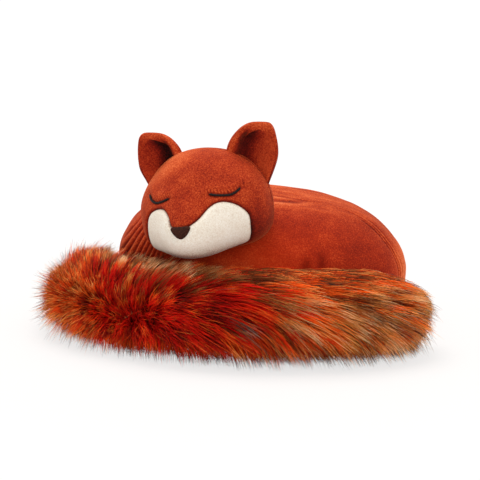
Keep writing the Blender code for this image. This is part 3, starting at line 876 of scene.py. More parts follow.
# How far each place of the head is raised or pressed, and its painted light and shade
def headHeights(local, shown):
    flat = local[..., [0, 2]].reshape(-1, 2)
    front = (local[..., 1] < 0).reshape(-1)
    away = lineDistance(flat, patchLine)
    inside = insideOutline(flat, patchLine) & front
    groove = -face["grooveDepth"] * np.exp(-(away / face["grooveWidth"]) ** 2)
    under = -0.0024 * smoothRamp(away, 0, 0.0012) - face["grooveDepth"]
    height = np.where(inside, under, np.where(front, groove, 0))
    # Painted shade in the groove round the patch
    shade = np.where(front, -0.75 * np.exp(-(away / 0.0012) ** 2), 0)
    for line in eyeLines.values():
        gap = lineDistance(flat, line, closed=False)
        above = smoothRamp(flat[:, 1] - np.interp(flat[:, 0], line[:, 0], line[:, 1]), -0.0002, 0.0008)
        height = height - np.where(front, 0.0009 * np.exp(-(gap / 0.0016) ** 2), 0)
        height = height + np.where(front, 0.0007 * np.exp(-((gap - 0.0045) / 0.003) ** 2) * above, 0)
        # Painted light and shade in ticks on the pile above each eye, and painted shade along the thread's
        # groove
        ticks = np.sin(flat[:, 0] * 2 * math.pi / 0.0021 + 2 * flat[:, 1] / 0.0021)
        ticks = ticks * above * np.exp(-((gap - 0.0022) / 0.0014) ** 2)
        shade = shade + np.where(front, 0.22 * ticks - 0.45 * np.exp(-(gap / 0.0011) ** 2), 0)
    height = height.reshape(local.shape[:2])
    shade = shade.reshape(local.shape[:2])
    height = height + 0.0007 * softNoise(shown, 0.030, 11) + 0.0003 * softNoise(shown, 0.011, 12)
    behind = local[..., 1] - headShape["seamBack"]
    height = height - 0.0009 * bump(behind, 0.0004, 0.0010) + 0.0004 * bump(behind, -0.0018, 0.0012)
    # Painted shade in the seam's groove and a painted highlight on the ridge before it, painted shade on the
    # lower right cheek, and a painted highlight along the upper left
    shade = shade - 0.65 * bump(behind, 0.0006, 0.0009) + 0.40 * bump(behind, -0.0012, 0.0010)
    shade = shade - 0.34 * bump(local[..., 0], 0.047, 0.013) * bump(local[..., 2], -0.019, 0.018)
    shade = shade + 0.42 * smoothRamp(0.86 * local[..., 2] - 0.50 * local[..., 0], 0.031, 0.044)
    return height, shade


# Points nearer than the cloth gap to a skin, or inside it, are pressed back out
def pressOff(points, tree):
    moved = points.copy()
    for index, point in enumerate(points):
        above, near, normal = overSkin(tree, point)
        if above < clothGap:
            moved[index] = np.array(near + normal * clothGap)
    return moved


def buildHead():
    size = headShape
    around = ringAngles(size["around"])
    polars = np.linspace(0.012, math.pi - 0.012, size["rows"])
    aroundGrid, polarGrid = np.meshgrid(around, polars)
    local = headLocal(aroundGrid, polarGrid)
    shown = toWorld(local, headPlace)
    normals = gridNormals(shown)
    height, paintedShading = headHeights(local, shown)
    shown = shown + normals * height[..., None]
    low = shown[..., 2] < 0.125
    shown[low] = pressOff(shown[low], bodyTree)
    whole = closeRings("head_whole", shown, rustPlush, paintedShading)
    table = np.array(headPlace)
    backwards = table[:3, 1]
    seam = table[:3, 3] + backwards * size["seamBack"]
    return whole, *splitAtSeam(whole, seam, backwards, "head_face_plush", "head_back_plush")


headWhole, headFront, headBack = buildHead()
headTree = treeOf([headWhole])
dropItem(headWhole)
dress(headFront, "head", "rust_plush", 0.8, "head_face_cover", "head_filling")
dress(headBack, "head", "rust_plush", 0.8, "head_back_cover", "neck_closing_panel")
print("head sewn")


# A pad with a rounded edge on the face: rings run from its middle to its outline. Its cloth gets painted
# shade towards the chin and along its edge
def facePad(name, outline, middle, heights, rows, material):
    shares = np.sin(np.linspace(0.02, math.pi / 2, rows))
    places = middle + shares[:, None, None] * (outline - middle)
    away = lineDistance(places.reshape(-1, 2), outline).reshape(places.shape[:2])
    away[-1] = 0
    point, normal = onFace(places[..., 0], places[..., 1])
    top = toWorld(point + normal * heights(away)[..., None], headPlace)
    lower = toWorld(point + normal * (heights(away * 0) - 0.0012)[..., None], headPlace)
    grid = np.concatenate([top, lower[::-1][:-4:4]])
    # Painted shade towards the chin, strongest near the middle, and along the pad's edge
    chinShade = smoothRamp(-places[..., 1], 0.46 * faceSize[1], 0.74 * faceSize[1])
    paintedShading = np.zeros(grid.shape[:2])
    chinShade = chinShade * (0.7 + 0.6 * bump(places[..., 0], -0.010, 0.014))
    paintedShading[:rows] = -chinShade - 0.5 * np.exp(-(away / 0.0009) ** 2)
    return closeRings(name, grid, material, paintedShading)


# How high the patch and the nose stand over the head, by the distance from their outline
def patchHeights(away):
    return -0.0010 + (face["patchRise"] + 0.0010) * (1 - np.exp(-(away / 0.0013)))


def noseHeights(away):
    return 0.0004 + face["noseThickness"] * np.sqrt(1 - np.clip(1 - away / 0.0032, 0, 1) ** 2)


patchSeat = np.array(face["patchMiddle"]) * faceSize
patch = facePad("muzzle_patch_plush", patchLine, patchSeat, patchHeights, 70, creamPlush)
dress(patch, "head", "cream_plush", 0.6, "muzzle_patch")
noseSeat = np.array(face["noseSeat"]) * faceSize
noseSize = np.array([face["noseHalfWidth"], face["noseHeight"]])
noseLine = closedCurve(np.array(face["nose"]) * noseSize, 10) + noseSeat
nose = facePad("nose_pad", noseLine, noseSeat, noseHeights, 26, noseSuede)
dress(nose, "head", "nose_suede", 0.6, "nose")
print("muzzle and nose set")


# Embroidered eyes: a tight thread line laid in the groove
def buildEye(side, node):
    places = openCurve(eyeLines[side], 8)
    point, normal = onFace(places[:, 0], places[:, 1])
    middle = toWorld(point + normal * face["threadRadius"] * 0.3, headPlace)
    forward = unit(np.gradient(middle, axis=0))
    outward = unit(toWorld(point + normal, headPlace) - toWorld(point, headPlace))
    sideways = unit(np.cross(forward, outward))
    count = len(middle)
    ends = np.sqrt(np.clip(np.minimum(np.arange(count), np.arange(count)[::-1]) / 2, 0.12, 1))
    swell, pace = face["threadTwist"]
    radius = face["threadRadius"] * ends * (1 + swell * np.sin(np.arange(count) * pace))
    turn = ringAngles(face["threadSides"])[None, :, None]
    flat = sideways[:, None, :] * face["threadFlatness"]
    rings = middle[:, None, :] + radius[:, None, None] * (np.cos(turn) * flat
                                                          + np.sin(turn) * outward[:, None, :])
    dress(closeRings(node + "_thread", rings, eyeThread), "head", "eye_thread", 0, node)


buildEye("Left", "eye_stitch_left")
buildEye("Right", "eye_stitch_right")
print("eyes stitched")

# Ears: soft leaves with a thick rolled rim towards the crown and a hollow that slopes to the outer edge
earShape = {
    "heights": {-1: 0.0315, 1: 0.0368},
    "seats": {-1: (-0.0345, 0.0089, 0.0237), 1: (0.0347, -0.0091, 0.0300)},
    "turn": math.radians(-10),
    "tilt": math.radians(7),
    "edges": {
        -1: [(-0.34, 0.42, -0.46), (0.00, 0.60, -0.55), (0.25, 0.645, -0.54), (0.47, 0.65, -0.49),
             (0.66, 0.64, -0.39), (0.82, 0.615, -0.25), (0.92, 0.565, -0.11), (0.98, 0.48, 0.04),
             (1.00, 0.37, 0.20)],
        1: [(-0.34, 0.40, -0.46), (0.00, 0.53, -0.55), (0.25, 0.60, -0.54), (0.47, 0.605, -0.49),
            (0.66, 0.575, -0.39), (0.82, 0.535, -0.25), (0.92, 0.49, -0.12), (0.98, 0.43, 0.02),
            (1.00, 0.34, 0.16)],
    },
    "rows": 64,
    # Cross-section: share of the half width, then depth in millimetres behind the rim
    "front": [(-0.94, 0.6), (-0.80, 0.6), (-0.50, 3.0), (-0.15, 5.4), (0.18, 7.6), (0.38, 8.0), (0.50, 5.4),
              (0.60, 1.5), (0.76, 0.0), (0.92, 1.0)],
    "back": [(1.00, 3.6), (0.94, 6.4), (0.70, 9.0), (0.35, 10.4), (-0.10, 9.2), (-0.50, 7.2), (-0.82, 5.2),
             (-0.99, 2.6)],
    "rimDepth": 4.2,
    "fineSteps": 5,
    "liningReach": 0.83,
    "liningFoot": -0.30,
    "liningSpan": (-0.90, 0.52),
    "liningMiddle": -0.16,
    "liningGrid": (40, 44),
    "liningThickness": 0.0008,
    # How deep the painted shade in each ear's hollow is, and how much painted light its outer side gets
    "paintedHollow": {-1: (0.94, 0.42), 1: (0.34, 0.62)},
}
earFrontSteps = earShape["fineSteps"] * (len(earShape["front"]) - 1)


def earMatrix(side):
    size = earShape
    seat = headPlace.translation + Vector(size["seats"][side])
    turn = Matrix.Rotation(size["turn"], 4, "Z")
    return Matrix.Translation(seat) @ turn @ Matrix.Rotation(size["tilt"], 4, "X")


# Places across an ear at a height: -1 is the outer edge, 1 the edge towards the crown
def earAcross(share, up, side):
    edges = openCurve(np.array(earShape["edges"][side]), 12)
    outer = np.interp(up, edges[:, 0], edges[:, 1])
    inner = np.interp(up, edges[:, 0], edges[:, 2])
    return outer + (inner - outer) * (np.asarray(share) + 1) / 2


# How deep the hollow is at a height, and how thick the leaf is there
def earDepths(up):
    hollow = (1 - smoothRamp(up, 0.60, 0.86)) * (0.75 + 0.25 * smoothRamp(up, -0.1, 0.4))
    thickness = math.sqrt(max(1 - max((up - 0.84) / 0.16, 0) ** 2, 0.0))
    return hollow, thickness


def earSection(up, side):
    hollow, thickness = earDepths(up)
    front = np.array(earShape["front"])
    back = np.array(earShape["back"])
    rest = earShape["rimDepth"]
    front = np.column_stack([front[:, 0], front[:, 1] * hollow])
    back = np.column_stack([back[:, 0], rest + (back[:, 1] - rest) * (0.35 + 0.65 * hollow)])
    line = closedCurve(np.vstack([front, back]), earShape["fineSteps"])
    depth = rest * 0.7 + (line[:, 1] - rest * 0.7) * thickness
    height = earShape["heights"][side]
    across = side * earAcross(line[:, 0], up, side) * height
    return np.stack([across, depth * 0.001, np.full(len(line), height * min(up, 1))], axis=-1), line[:, 0]


def buildEar(side, word):
    size = earShape
    low = size["edges"][side][0][0]
    ups = low + (1 - low) * np.sin(np.linspace(0, math.pi / 2, size["rows"]))
    sections = [earSection(up, side) for up in ups[:-1]]
    grid = np.array([section[0] for section in sections])
    share = sections[0][1]
    front = np.arange(len(share)) < earFrontSteps
    # Painted light and shade: a painted highlight on the rolled rim, painted shade in the fold between the
    # rim and the hollow and at the foot where the ear meets the head, and painted light near the top
    crown = np.where(front, 0.22 * smoothRamp(share, 0.62, 0.80) - 0.70 * bump(share, 0.50, 0.14), 0)
    foot = smoothRamp(-ups[:-1], -0.22, 0.05)
    paintedShading = crown[None, :] * (1 - smoothRamp(ups[:-1], 0.70, 0.92))[:, None] - 0.30 * foot[:, None]
    paintedShading = paintedShading + 0.18 * smoothRamp(ups[:-1], 0.80, 0.95)[:, None]
    grid = grid + (0.0006 * softNoise(grid, 0.012, 21 + side))[..., None] * np.array([0, 1, 0])
    return closeRings("ear_" + word + "_plush", toWorld(grid, earMatrix(side)), rustPlush, paintedShading)


# The lining follows the hollow's front, from near the outer edge to the foot of the thick rim. Its cloth gets
# painted shade deep in the hollow and under the top rim, and painted light towards the outer edge and at the
# foot
def buildLining(side, word):
    size = earShape
    columns, rows = size["liningGrid"]
    middle = size["liningMiddle"]
    places = np.linspace(*size["liningSpan"], columns)
    frontLine = closedCurve(np.array(size["front"] + size["back"]), size["fineSteps"])[:earFrontSteps + 1]
    grid = []
    paintedShading = []
    for up in np.linspace(size["liningFoot"], size["liningReach"], rows):
        hollow, _ = earDepths(up)
        squeeze = math.sqrt(max(1 - (max(up, 0) / (size["liningReach"] + 0.01)) ** 4, 0))
        across = middle + (places - middle) * squeeze
        depth = np.interp(across, frontLine[:, 0], frontLine[:, 1]) * hollow
        height = size["heights"][side]
        grid.append(np.stack([side * earAcross(across, up, side) * height, depth * 0.001,
                              np.full(columns, height * up)], axis=-1))
        # Painted shade in the hollow and under the top rim, painted light towards the outer edge and at the
        # foot
        outer = smoothRamp(-across, -0.30, 0.85)
        dark, light = size["paintedHollow"][side]
        shade = -dark * smoothRamp(across, -0.25, 0.36) + light * outer
        shade = shade - 0.45 * smoothRamp(up, 0.45, 0.80) * (1 - outer) - 0.12
        paintedShading.append(shade + 0.20 * smoothRamp(-up, -0.15, 0.15) * (1 - smoothRamp(across, 0.0, 0.3)))
    grid = np.array(grid)
    thick = size["liningThickness"] * np.sin(np.linspace(0, math.pi, columns))[None, :] ** 0.4
    front = grid - thick[..., None] * np.array([0, 1, 0])
    back = grid + 0.0004 * np.array([0, 1, 0])
    loops = np.concatenate([front, back[:, ::-1]], axis=1)
    paintedShading = np.concatenate([paintedShading, np.array(paintedShading)[:, ::-1]], axis=1)
    return closeRings("ear_" + word + "_lining", toWorld(loops, earMatrix(side)), earPlush, paintedShading)


for side, word in ((-1, "left"), (1, "right")):
    dress(buildEar(side, word), "head", "rust_plush", 0.4, "ear_" + word + "_outer")
    dress(buildLining(side, word), "head", "ear_lining", 0.4, "ear_" + word + "_inner")
print("ears shaped")

# Tail: long fur on a knitted backing
tailShape = {
    "spread": 0.150,
    "reach": 0.100,
    "halfWidth": 0.0410,
    "height": 0.0760,
    "stations": [
        (-0.34, 0.80, 0.40, 0.52, 0.02),
        (-0.62, 0.80, 0.50, 0.56, 0),
        (-0.83, 0.58, 0.64, 0.70, 0),
        (-0.88, 0.22, 0.76, 0.86, 0),
        (-0.79, -0.20, 0.88, 0.96, 0),
        (-0.50, -0.61, 0.96, 0.95, 0),
        (-0.12, -0.84, 1.00, 0.91, 0),
        (0.25, -0.92, 0.98, 0.92, 0),
        (0.58, -0.85, 0.94, 0.90, 0),
        (0.81, -0.71, 0.86, 0.80, 0.02),
        (0.92, -0.61, 0.66, 0.60, 0.08),
        (0.97, -0.56, 0.26, 0.24, 0.24),
    ],
    "backingShare": 0.60,
    "capStart": 0.86,
    "rearThinner": 0.50,
    "backingAround": 96,
    "backingAlong": 160,
}


def stationAt(along):
    stations = np.array(tailShape["stations"])
    place = np.clip(along, 0, 1) * (len(stations) - 1)
    index = np.minimum(place.astype(int), len(stations) - 2)
    table = withEnds(stations)
    return splinePoint(*(table[index + step] for step in range(4)), (place - index)[..., None])


def tailSkin(around, along, share):
    size = tailShape
    station = stationAt(along)
    heading = (stationAt(along + smallStep) - stationAt(along - smallStep))[..., :2]
    heading = unit(heading * np.array([size["spread"], size["reach"]]))
    halfWidth = station[..., 2] * size["halfWidth"] * share
    halfHeight = station[..., 3] * size["height"] / 2 * share
    middle = (station[..., 3] / 2 + station[..., 4]) * size["height"]
    across = halfWidth * np.cos(around)
    x = station[..., 0] * size["spread"] + across * heading[..., 1]
    y = station[..., 1] * size["reach"] - across * heading[..., 0]
    z = middle + halfHeight * np.sin(around)
    return np.stack([x, y, z], axis=-1) + partShift


# Where the tail passes behind the body
def rearPart(places):
    return smoothRamp(places[..., 1], -0.010, 0.040)


# The backing lies inside the fur's skin and ends in a round cap, well before the hair does
def backingSkin(around, along):
    size = tailShape
    cap = np.clip((along - size["capStart"]) / (1 - size["capStart"]), 0, 1)
    rear = rearPart(tailSkin(around, along, 0))
    share = size["backingShare"] * np.sqrt(1 - 0.985 * cap ** 2) * (1 - size["rearThinner"] * rear)
    return tailSkin(around, np.minimum(along, size["capStart"]) + 0.030 * np.sin(cap * math.pi / 2), share)


def buildBacking():
    size = tailShape
    around = ringAngles(size["backingAround"])
    cap = size["capStart"]
    rounding = np.sin(np.linspace(0.1, math.pi / 2, 16))
    along = np.concatenate([np.linspace(0.03, cap, size["backingAlong"]), cap + (1 - cap) * rounding])
    aroundGrid, alongGrid = np.meshgrid(around, along)
    grid = backingSkin(aroundGrid, alongGrid)
    grid = pressOff(grid.reshape(-1, 3), bodyTree).reshape(grid.shape)
    return closeRings("tail_backing", grid, pileBacking)


dress(buildBacking(), "tail", "backing_cloth", 0.6, "tail_filling", "tail_root_panel")
print("tail backing wrapped")

# Fur: dyed in eight tones, each from root to middle to tip; the dark roots are partly dye and partly painted
# shade in the gaps between locks
furColours = {
    "crimson": (tint(84, 3, 3), tint(206, 12, 6), tint(232, 42, 16)),
    "fire": (tint(96, 4, 3), tint(224, 40, 8), tint(252, 112, 36)),
    "orange": (tint(116, 12, 5), tint(238, 90, 20), tint(255, 172, 84)),
    "blackTip": (tint(110, 8, 5), tint(228, 74, 16), tint(24, 11, 8)),
    "tan": (tint(84, 30, 12), tint(226, 134, 66), tint(252, 206, 150)),
    "brown": (tint(46, 12, 5), tint(134, 64, 27), tint(200, 126, 68)),
    "dark": (tint(20, 3, 3), tint(76, 7, 5), tint(122, 22, 10)),
    "wisp": (tint(46, 30, 24), tint(84, 66, 56), tint(140, 122, 108)),
}
furNames = list(furColours)
fur = {
    "outer": {"name": "tail_fur", "hairs": 50000, "reach": 1.0, "length": 1.0, "clumping": 0.74,
              "dark": 0.02},
    "under": {"name": "tail_under_fur", "hairs": 12000, "reach": 0.70, "length": 0.72, "clumping": 0.15,
              "dark": 0.45},
    "strays": 0.05,  # share of hairs that stand out from the rest
    "leftStrays": 0.16,
    "ownKind": 0.16,  # share of hairs that aren't dyed as their clump is
    "locks": 900,
    "clumps": 4200,
    "lockLift": 0.0016,
    "length": 0.030,
    "longer": 0.42,
    "lengthSpread": 0.14,
    "halfWidth": 0.00022,
    "skirtPower": 6,
    "leftSlope": 0.29,
    "rightSlope": 0.30,
    # How far out the hair reaches at each end: height over the floor, then the distance from the middle
    "rightEnd": ((0.002, 0.141), (0.008, 0.144), (0.020, 0.148), (0.034, 0.152), (0.049, 0.148),
                 (0.055, 0.142)),
    "leftEnd": ((0.002, 0.149), (0.007, 0.155), (0.030, 0.158), (0.047, 0.152), (0.058, 0.141),
                (0.066, 0.130)),
    "shadeSteps": 8,
    "shadeLevels": (0.56, 0.125),  # the darkest of the shade steps, and how much lighter each next one is
    "skinGrid": (80, 110),
    "rootGrid": (240, 480),
    "rootRun": (0.03, 0.968),  # where roots start along the tail, and over how much of it they spread
    "rootClear": 0.0012,  # least distances from the body and the head
    "middleClear": 0.0004,
    "tipClear": 0.0002,
    "tipTurn": 0.0005,  # tips nearer than this are turned out to the next distance
    "tipTurned": 0.0012,
    "lowestTip": 0.0004,
    "strandFaces": 26,
    "mostFaces": 190000,
    "seed": 7,
    "quickShare": 0.5,
    "quickWidth": 2.2,
}


# The height to which the fur is brushed: it falls to the floor on the outer side, and slopes at the left end
def brushedSkin():
    columns, rows = fur["skinGrid"]
    aroundGrid, alongGrid = np.meshgrid(ringAngles(columns), np.linspace(0, 1, rows))
    angle = wrapped(aroundGrid)
    power = fur["skirtPower"]
    skirt = (np.abs(np.cos(angle)) ** power + np.abs(np.sin(angle)) ** power) ** (-1 / power)
    skirt = np.where((angle < 0) & (angle > -math.pi / 2), skirt, 1)
    x = tailSkin(aroundGrid, alongGrid, 1.0)[..., 0]
    slope = fur["leftSlope"] * smoothRamp(-x, 0.060, 0.115) * bump(angle, 0.95, 0.75)
    slope = slope + fur["rightSlope"] * smoothRamp(x, -0.010, 0.040) * bump(angle, 1.50, 0.70)
    grid = tailSkin(aroundGrid, alongGrid, skirt - slope)
    skin = closeRings("brushed_skin", grid, pileBacking)
    tree = treeOf([skin])
    dropItem(skin)
    return tree


tailTree = brushedSkin()


# Each hair's UV says how far along it a place is and which dye and level it has
def furMaterial():
    material, tree, shader = newMaterial("long_pile_fur", 0.5)
    place = tree.nodes.new("ShaderNodeUVMap")
    place.uv_map = "OFBake"
    parts = tree.nodes.new("ShaderNodeSeparateXYZ")
    tree.links.new(place.outputs["UV"], parts.inputs["Vector"])
    along, shade = parts.outputs["X"], parts.outputs["Y"]
    kinds = len(furNames)
    layers = []
    for level in range(3):
        stops = [((index + 0.001) / kinds, furColours[name][level]) for index, name in enumerate(furNames)]
        stops[0] = (0, stops[0][1])
        layers.append(addRamp(tree, shade, stops, "CONSTANT"))
    rise = addRamp(tree, along, [(0.12, (0, 0, 0, 1)), (0.55, (1, 1, 1, 1))])
    finish = addRamp(tree, along, [(0.62, (0, 0, 0, 1)), (0.93, (1, 1, 1, 1))])
    colour = mixColours(tree, rise, layers[0], layers[1])
    colour = mixColours(tree, finish, colour, layers[2])
    steps = kinds * fur["shadeSteps"]
    step = addMath(tree, "FLOOR", addMath(tree, "MULTIPLY", shade, steps), 0)
    inner = addMath(tree, "MODULO", step, fur["shadeSteps"])
    darkest, lighter = fur["shadeLevels"]
    level = addMath(tree, "ADD", addMath(tree, "MULTIPLY", inner, lighter), darkest)
    grey = tree.nodes.new("ShaderNodeCombineColor")
    for socket in grey.inputs:
        tree.links.new(level, socket)
    colour = mixColours(tree, 1.0, colour, grey.outputs["Color"], "MULTIPLY")
    tree.links.new(colour, shader.inputs["Base Color"])
    shader.inputs["Specular IOR Level"].default_value = 0.07
    return material


longFur = furMaterial()


# Template strands: closed three-sided hairs from (0, 0, 0) to (1, 0, 0) that arch towards +Z
strandShape = {
    "spacing": 0.9,
    "halfWidths": np.array([0.8, 1.0, 0.92, 0.6, 0.06]),
    "corners": ((-1, -0.35), (1, -0.35), (0, 0.75)),
    "sides": (0.12, 0.88, 0.5),
    "thickness": 0.0075,
    # Height of the arch, how early it peaks, sideways sway and hook of each template
    "kinds": ((0.22, 0.64, 0, 0.02), (0.27, 0.60, 2.0, 0.03), (0.17, 0.70, -2.5, -0.02),
              (0.24, 0.58, -1.5, 0.05), (0.19, 0.74, 2.5, 0.04)),
}


def templateStrand(name, arch, skew, sway, hook):
    size = strandShape
    half = size["halfWidths"]
    rows = len(half)
    along = np.linspace(0, 1, rows) ** size["spacing"]
    rise = arch * np.sin(math.pi * along ** skew) - hook * along ** 4
    rise = rise - rise[-1] * along
    lean = sway * np.sin(math.pi * along)
    vertices, faces = [], []
    for row in range(rows):
        for across, above in size["corners"]:
            vertices.append((along[row], lean[row] + across * half[row],
                             rise[row] + above * half[row] * size["thickness"]))
    for row in range(rows - 1):
        for index in range(3):
            a, b = row * 3 + index, row * 3 + (index + 1) % 3
            faces.append((a, b, b + 3, a + 3))
    faces.append((2, 1, 0))
    last = (rows - 1) * 3
    faces.append((last, last + 1, last + 2))
    mesh = addMesh(name, vertices, faces)
    for key, values in (("along", np.repeat(along, 3)), ("side", np.tile(size["sides"], rows))):
        mesh.attributes.new(key, "FLOAT", "POINT").data.foreach_set("value", values.astype(np.float32))
    return bpy.data.objects.new(name, mesh)


def strandTemplates():
    group = bpy.data.collections.new("strand_templates")
    for index, values in enumerate(strandShape["kinds"]):
        group.objects.link(templateStrand("strand_%d" % index, *values))
    return group


# What each root carries: the way its hair lies and arches, its size, its dye and its template
rootValues = {
    "lay": "FLOAT_VECTOR",
    "rise": "FLOAT_VECTOR",
    "stretch": "FLOAT_VECTOR",
    "tone": "FLOAT",
    "pick": "INT",
}


# Geometry nodes: one template strand on every root, turned and stretched by what the root carries
def furTree(group):
    tree = bpy.data.node_groups.new("fur_strands", "GeometryNodeTree")
    tree.interface.new_socket("Roots", in_out="INPUT", socket_type="NodeSocketGeometry")
    thickness = tree.interface.new_socket("Strand thickness", in_out="INPUT", socket_type="NodeSocketFloat")
    thickness.default_value = 1.0
    tree.interface.new_socket("Fur", in_out="OUTPUT", socket_type="NodeSocketGeometry")
    nodes, links = tree.nodes, tree.links
    start = nodes.new("NodeGroupInput")
    end = nodes.new("NodeGroupOutput")

    def attribute(name):
        node = nodes.new("GeometryNodeInputNamedAttribute")
        node.data_type = rootValues[name]
        node.inputs["Name"].default_value = name
        return [socket for socket in node.outputs if socket.enabled and socket.name == "Attribute"][0]

    axes = nodes.new("FunctionNodeAxesToRotation")
    axes.primary_axis = "X"
    axes.secondary_axis = "Z"
    stretch = nodes.new("ShaderNodeSeparateXYZ")
    size = nodes.new("ShaderNodeCombineXYZ")
    pool = nodes.new("GeometryNodeCollectionInfo")
    pool.inputs["Collection"].default_value = group
    pool.inputs["Separate Children"].default_value = True
    pool.inputs["Reset Children"].default_value = True
    place = nodes.new("GeometryNodeInstanceOnPoints")
    place.inputs["Pick Instance"].default_value = True
    real = nodes.new("GeometryNodeRealizeInstances")
    paint = nodes.new("GeometryNodeSetMaterial")
    paint.inputs["Material"].default_value = longFur
    wide = addMath(tree, "MULTIPLY", stretch.outputs["Y"], start.outputs["Strand thickness"])
    for source, node, socket in (
            (attribute("lay"), axes, 0), (attribute("rise"), axes, 1),
            (attribute("stretch"), stretch, "Vector"), (stretch.outputs["X"], size, "X"),
            (wide, size, "Y"), (stretch.outputs["Z"], size, "Z"),
            (start.outputs["Roots"], place, "Points"), (pool.outputs["Instances"], place, "Instance"),
            (attribute("pick"), place, "Instance Index"),
            (axes.outputs["Rotation"], place, "Rotation"), (size.outputs["Vector"], place, "Scale"),
            (place.outputs["Instances"], real, "Geometry"),
            (real.outputs["Geometry"], paint, "Geometry"), (paint.outputs["Geometry"], end, "Fur")):
        links.new(source, node.inputs[socket])
    return tree, thickness.identifier


# Roots spread evenly over the backing
def furRoots(count, rng):
    columns, rows = fur["rootGrid"]
    first, length = fur["rootRun"]
    around = (np.arange(columns) + 0.5) * 2 * math.pi / columns
    along = first + (np.arange(rows) + 0.5) / rows * length
    aroundGrid, alongGrid = np.meshgrid(around, along)
    area = np.linalg.norm(np.cross(*skinSlopes(backingSkin, aroundGrid, alongGrid)), axis=-1)
    places = backingSkin(aroundGrid, alongGrid)
    turned = wrapped(aroundGrid)
    whorl = smoothRamp(-places[..., 0], 0.0, 0.06) * smoothRamp(-places[..., 1], -0.06, 0.0)
    crowd = bump(turned, -0.1, 0.55) * whorl
    hidden = smoothRamp(np.abs(turned), 1.9, 2.5)
    end = 0.8 * smoothRamp(alongGrid, 0.78, 0.90)
    rear = rearPart(places)
    area = (area * (1 + 1.3 * crowd + end + 1.4 * rear) * (1 - 0.6 * hidden * (1 - rear))).reshape(-1)
    picks = rng.choice(len(area), size=count, p=area / area.sum())
    turn = aroundGrid.reshape(-1)[picks] + (rng.random(count) - 0.5) * 2 * math.pi / columns
    run = alongGrid.reshape(-1)[picks] + (rng.random(count) - 0.5) * length / rows
    return turn, run


# How the hair lies at a root: chord from root to tip, before clumping
def furLay(turn, run, rng, reachShare, length):
    root = backingSkin(turn, run)
    skin = tailSkin(turn, run, 1.0)
    around, onward = (unit(slope) for slope in skinSlopes(backingSkin, turn, run))
    heading = unit(skinSlopes(tailSkin, turn, run, 0.5)[1])
    capStart = tailShape["capStart"]
    capped = smoothRamp(run, capStart - 0.01, capStart + 0.05)[:, None]
    onward = unit(onward * (1 - capped) + heading * capped)
    normal = unit(np.cross(around, onward))
    outward = unit(skin - root)
    normal = normal * np.sign(np.sum(normal * outward, axis=-1, keepdims=True))
    gap = np.linalg.norm(skin - root, axis=-1)
    x = root[:, 0]
    angle = wrapped(turn)
    rightward = smoothRamp(x, -0.075, 0.0)
    parting = rightward * math.radians(50) - 0.18 + 0.10 * np.sin(x * 95)
    away = angle - parting
    top = smoothRamp(angle, 0.2, 1.2)
    flow = np.tanh((x + 0.076) / 0.040)
    flow = flow * (1 - 0.6 * smoothRamp(-x, 0.125, 0.145))
    flow = np.maximum(flow, top * (2 * smoothRamp(x, -0.130, -0.060) - 1))
    rear = rearPart(root)
    flow = flow * (1 - rear) + 0.35 * rear
    whorlSide = np.tanh(away / 0.85)
    streamSide = (0.34 + 0.62 * np.abs(away)) * away * (1.15 - 0.60 * smoothRamp(x, 0.0, 0.10))
    streamSide = np.where(away > 0, 0.15 * away, streamSide)
    side = whorlSide * (1 - rightward) + streamSide * rightward
    swept = smoothRamp(-angle, 0.95, 1.75)
    side = side * (1 - swept) + 0.5 * swept
    side = side * np.cos(np.clip(np.abs(angle) - 1.9, 0, math.pi / 2))
    tangent = onward * flow[:, None] + around * side[:, None]
    strength = np.minimum(np.linalg.norm(tangent, axis=-1), 1)
    tangent = unit(tangent)
    rise = np.maximum(gap * reachShare, 0.004)
    length = length * (1 + fur["longer"] * rightward)
    level = np.sqrt(np.maximum(length ** 2 - rise ** 2, (0.35 * length) ** 2)) * (0.20 + 0.80 * strength)
    upright = smoothRamp(angle, 0.55, 1.05) * smoothRamp(x, -0.120, -0.090) * smoothRamp(-x, -0.010, 0.030)
    level = level * (1 - 0.42 * upright)
    loose = 0.13 - 0.05 * rightward + 0.70 * bump(away, 0, 0.40) * (1 - rightward)
    turned = (rng.normal(0, 1, len(x)) * loose)[:, None]
    tangent = tangent * np.cos(turned) + np.cross(normal, tangent) * np.sin(turned)
    chord = normal * rise[:, None] + tangent * level[:, None]
    drooped = heading * 0.017 + outward * 0.006 - np.array([0, 0, 0.003])
    chord = chord * (1 - capped) + drooped * capped
    return root, chord, normal, angle


# Shares of each shade for a place on the tail
def furWeights(place, angle):
    x, z = place[:, 0], place[:, 2]
    left = smoothRamp(-x, 0.095, 0.130)
    farLeft = smoothRamp(-x, 0.118, 0.142)
    right = smoothRamp(x, 0.030, 0.100)
    topBand = smoothRamp(angle, 0.75, 1.15)
    tanZone = topBand * smoothRamp(x, -0.115, -0.090) * smoothRamp(-x, 0.010, 0.035)
    brownZone = topBand * smoothRamp(x, -0.035, -0.005)
    low = smoothRamp(-z, -0.016, -0.004)
    middle = smoothRamp(x, -0.135, -0.10) * smoothRamp(-x, -0.05, 0.01) * (1 - topBand)
    weights = {
        "crimson": (0.30 + 4.2 * middle) * (1 - right),
        "fire": (0.9 + 0.3 * middle + 1.0 * left) * (1 - 0.97 * right) * (1 - 0.6 * farLeft),
        "orange": 0.20 + 3.6 * left + 3.0 * farLeft + 2.5 * right + 1.2 * low * (1 - right),
        "blackTip": 0.08 + 1.3 * left + 0.7 * low + 0.25 * right,
        "tan": 0.02 + 2.8 * tanZone + 2.5 * right,
        "brown": (0.14 * (1 - farLeft) + 2.8 * brownZone * (1 - 0.7 * right) + 1.9 * tanZone
                  + 2.2 * low * right + 1.0 * right),
        "dark": (0.18 + 1.15 * middle + 0.3 * low) * (1 - 0.5 * right) + 0.5 * tanZone,
        "wisp": 0.01 + 0.03 * right,
    }
    table = np.stack([weights[name] for name in furNames], axis=-1)
    return table / table.sum(axis=-1, keepdims=True)


